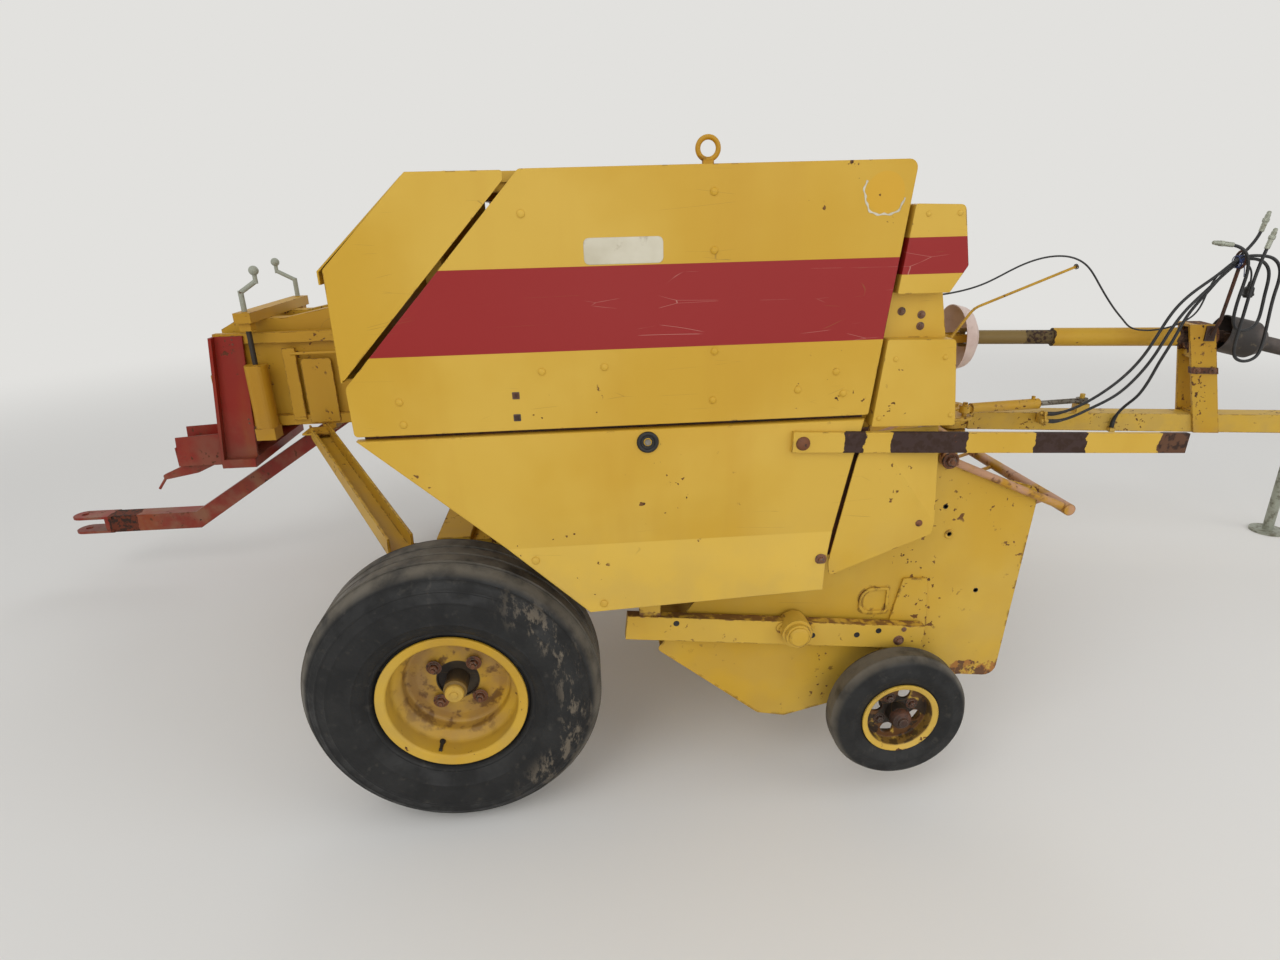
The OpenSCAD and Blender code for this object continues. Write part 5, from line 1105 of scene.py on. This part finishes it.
class BALER_OT_fasteners(bpy.types.Operator):
    """Bolts, rings, holes and straps on the pickup, the chamber and the drawbar"""

    bl_idname = "baler.fasteners"
    bl_label = "Fasteners"

    def execute(self, context):
        eye = hoop(SHEET_EYE, Y, 0.0105, 0.0042, 32, 10)
        mesh_piece("sheet_eye", eye, "pickup", finish("pickup"))
        fixings("sheet_holes", hole(0.006), SHEET_HOLES, "dark", "pickup")
        fixings("rail_holes", hole(0.007), on_face(RAIL_HOLES, RAIL_Y), "dark")
        cap = stack([0.030, 0.030, 0.024, 0.008], [-0.002, 0.004, 0.009, 0.010], 28)
        cap = joined([turned(cap, [HINGE_CAP], -Y), turned(hex_bolt(0.019, 0.006), HINGE_BOLTS, -Y)])
        mesh_piece("hinge_cap", cap, "chassis", finish("pickup"))
        large, small = RAIL_END_BOLTS
        ends = joined([turned(hex_bolt(0.017, 0.005), [large], -Y), turned(hex_bolt(0.008), [small], -Y)])
        mesh_piece("stop_bolts", ends, "chassis", finish("rust"))
        nut = turned(hex_bolt(0.024, 0.006), [GUARD_NUT], -Y)
        guard = joined([hoop(GUARD_RING, Y, 0.020, 0.004, 32, 10), nut])
        mesh_piece("guard_pivot_nut", guard, "wind_guard", finish("rust"))
        bolt = hex_bolt(0.017, 0.004)
        for side, face, outward in POST_FACES:
            places = [(x + HALF_POST, face, z) for x in POSTS for z in POST_BOLTS]
            fixings("chamber_bolts_" + side, bolt, places, "rust", outward=outward)
        self.clamp()
        self.cable_bracket()
        return {"FINISHED"}

    def clamp(self):
        """Rusted strap and bolts round the near bearing post: a flat band carried round the post's outline.
        The post's foot stands forward of its head, and the band falls a little towards the front."""
        lean = lambda z: 133 * (1135 - z) / (1135 - 588)
        rings = []
        for grow in (0.0, STRAP_GAUGE):
            rear, front = POST_REAR - grow, POST_FRONT + grow
            near, far = POST_NEAR - grow, POST_FAR + grow
            corners = [(rear, near), (front, near), (front, far), (rear, far)]
            for z in (STRAP_LOW, STRAP_HIGH):
                rings.append([(s + lean(z), t, z - 20 * (s - 1080) / 1000) for s, t in corners])
        inner_low, inner_high, outer_low, outer_high = np.array(rings)
        loop = np.stack([outer_low, outer_high, inner_high, inner_low], 0)
        verts = on_drawbar(loop).reshape(-1, 3)
        faces = grid_faces(4, 4, wrap_rows=True, wrap_columns=True)
        mesh_piece("post_strap", (verts, faces), "draw_bar", finish("scale"))
        face = POST_NEAR - STRAP_GAUGE
        places = on_drawbar([(1046 + lean(912), face, 912), (1118 + lean(912), face, 911)])
        bolt = hex_bolt(0.017, 0.008)
        fixings("strap_bolts", bolt, places, "rust", "draw_bar", -SIDEWAYS)

    def cable_bracket(self):
        """Angle that bolts the cable's arm to the front post of the chamber."""
        angle = prism(ARM_ANGLE, 1.5862, 1.5946, shrink=0.0012)
        bolts = turned(hex_bolt(0.013, 0.004), [(1.912, 1.5865, 0.914), (1.912, 1.5865, 0.934)], -Y)
        mesh_piece("arm_angle", joined([angle, bolts]), "chassis", finish("frame"))


# Stage

# Camera fitted to the photograph, in the model's frame: its place, and its right, up and forward directions
CAMERA_PLACE = (-0.6123, -2.9585, 1.7099)
CAMERA_RIGHT, CAMERA_UP = (0.99639, -0.08174, -0.02326), (0.04999, 0.34235, 0.93824)
CAMERA_AHEAD = (0.06863, 0.93601, -0.34515)
# Lamps: name, share of the key's power, size, place and the point that it faces
LAMPS = (
    ("Key", 1.0, 4.5, (-4.2, -5.5, 6.0), (0.0, 0.0, 0.9)),
    ("Front", 0.95, 5.0, (0.8, -8.0, 2.7), (0.2, 0.0, 0.5)),
    ("Fill", 0.7, 5.0, (6.0, -4.0, 4.0), (0.5, 0.0, 0.9)),
    ("Back", 0.75, 5.0, (0.5, 6.5, 5.5), (0.0, 0.0, 0.9)),
)


def placed(name, data, axes, where):
    """Object that stands at a place, with its three axes along the given directions."""
    item = bpy.data.objects.new(name, data)
    world = Matrix(np.stack(axes, 1).tolist()).to_4x4()
    world.translation = where
    item.matrix_world = world
    bpy.context.scene.collection.objects.link(item)
    return item


class BALER_OT_stage(bpy.types.Operator):
    """Camera at the photograph's place, pale floor, large soft lamps and an even sky"""

    bl_idname = "baler.stage"
    bl_label = "Stage"

    def execute(self, context):
        scene, stage = context.scene, settings("stage")
        lens = bpy.data.cameras.new("Camera")
        lens.lens, lens.sensor_width, lens.clip_end = stage.lens, 36, 200
        axes = (CAMERA_RIGHT, CAMERA_UP, -np.array(CAMERA_AHEAD))
        scene.camera = placed("Camera", lens, axes, CAMERA_PLACE)
        self.floor(scene, stage)
        for name, share, size, where, aim in LAMPS:
            lamp = bpy.data.lights.new(name, "AREA")
            lamp.energy, lamp.size = stage.key * share, size
            out = np.array(where, float) - np.array(aim, float)
            out /= np.linalg.norm(out)
            p = np.cross(Z, out)
            p /= np.linalg.norm(p)
            placed(name, lamp, (p, np.cross(out, p), out), where).visible_camera = False
        world = bpy.data.worlds.new("Sky")
        scene.world = world
        world.use_nodes = True
        tree = world.node_tree
        tree.nodes.clear()
        even = add(tree, "ShaderNodeBackground", {"Color": (1, 1, 1), "Strength": stage.sky})
        pale = add(tree, "ShaderNodeBackground", {"Color": tuple(stage.floor), "Strength": 1.0})
        mixed = add(tree, "ShaderNodeMixShader", {0: self.seen(tree), 1: even.outputs[0], 2: pale.outputs[0]})
        add(tree, "ShaderNodeOutputWorld", {0: mixed.outputs[0]})
        scene.view_settings.view_transform = "Standard"
        return {"FINISHED"}

    def seen(self, tree):
        """1 for what the camera sees straight on, in a mirror or through glass."""
        rays = add(tree, "ShaderNodeLightPath").outputs
        pair = {0: rays["Is Camera Ray"], 1: rays["Is Glossy Ray"]}
        gloss = add(tree, "ShaderNodeMath", pair, operation="MAXIMUM")
        pair = {0: gloss.outputs[0], 1: rays["Is Transmission Ray"]}
        return add(tree, "ShaderNodeMath", pair, operation="MAXIMUM").outputs[0]

    def floor(self, scene, stage):
        """Round floor, r and angle on a grid; far from the object it passes into the plain background."""
        steps = 64
        t = np.linspace(0, 2 * np.pi, steps, endpoint=False)
        rings = [np.stack([r * np.cos(t), r * np.sin(t), 0 * t], 1) for r in (2.0, 60.0)]
        verts = np.concatenate([[[0, 0, 0]], *rings])
        faces = [[0, 1 + k, 1 + (k + 1) % steps] for k in range(steps)]
        faces += [list(map(int, f)) for f in grid_faces(2, steps, wrap_columns=True)[:, ::-1] + 1]
        data = bpy.data.meshes.new("floor")
        data.from_pydata(verts.tolist(), [], faces)
        floor = bpy.data.objects.new("floor", data)
        scene.collection.objects.link(floor)
        ground = Finish("Studio floor", stage.floor, Specular_IOR_Level=0.1)
        data.materials.append(ground.done(0.9, soft_edge=0))
        away = ground.vector("LENGTH", ground.place, out="Value")
        far = ground.both(ground.ramp(away, 4.5, 10.0), self.seen(ground.tree))
        plain = ground.node("Emission", {"Color": tuple(stage.floor), "Strength": 1.0})
        mixed = ground.node("MixShader", {0: far, 1: ground.shader.outputs[0], 2: plain})
        ground.tree.links.new(mixed, ground.out.inputs[0])


# Panel and registration


class BALER_PT_panel(bpy.types.Panel):
    """Lists the settings and the steps"""

    bl_label = "Square baler"
    bl_space_type = "VIEW_3D"
    bl_region_type = "UI"
    bl_category = "Baler"

    def draw(self, context):
        for group in GROUPS:
            box = self.layout.box()
            box.label(text=group.capitalize())
            values = settings(group)
            for key in values.__annotations__:
                box.prop(values, key)
        for operator in OPERATORS:
            self.layout.operator(operator.bl_idname)


GROUPS = {
    "paint": BalerPaint, "shields": BalerShields, "wheels": BalerWheels, "hoses": BalerHoses,
    "stage": BalerStage,
}
OPERATORS = [
    BALER_OT_stage, BALER_OT_cords, BALER_OT_wheels, BALER_OT_shields, BALER_OT_fasteners, BALER_OT_finishes,
]


def register():
    for item in (*GROUPS.values(), *OPERATORS, BALER_PT_panel):
        bpy.utils.register_class(item)
    for name, group in GROUPS.items():
        setattr(bpy.types.Scene, "baler_" + name, PointerProperty(type=group))


def unregister():
    for name in GROUPS:
        delattr(bpy.types.Scene, "baler_" + name)
    for item in reversed((*GROUPS.values(), *OPERATORS, BALER_PT_panel)):
        bpy.utils.unregister_class(item)


def main():
    register()
    for operator in OPERATORS:
        getattr(bpy.ops.baler, operator.bl_idname.split(".")[1])()


if __name__ == "__main__":
    main()
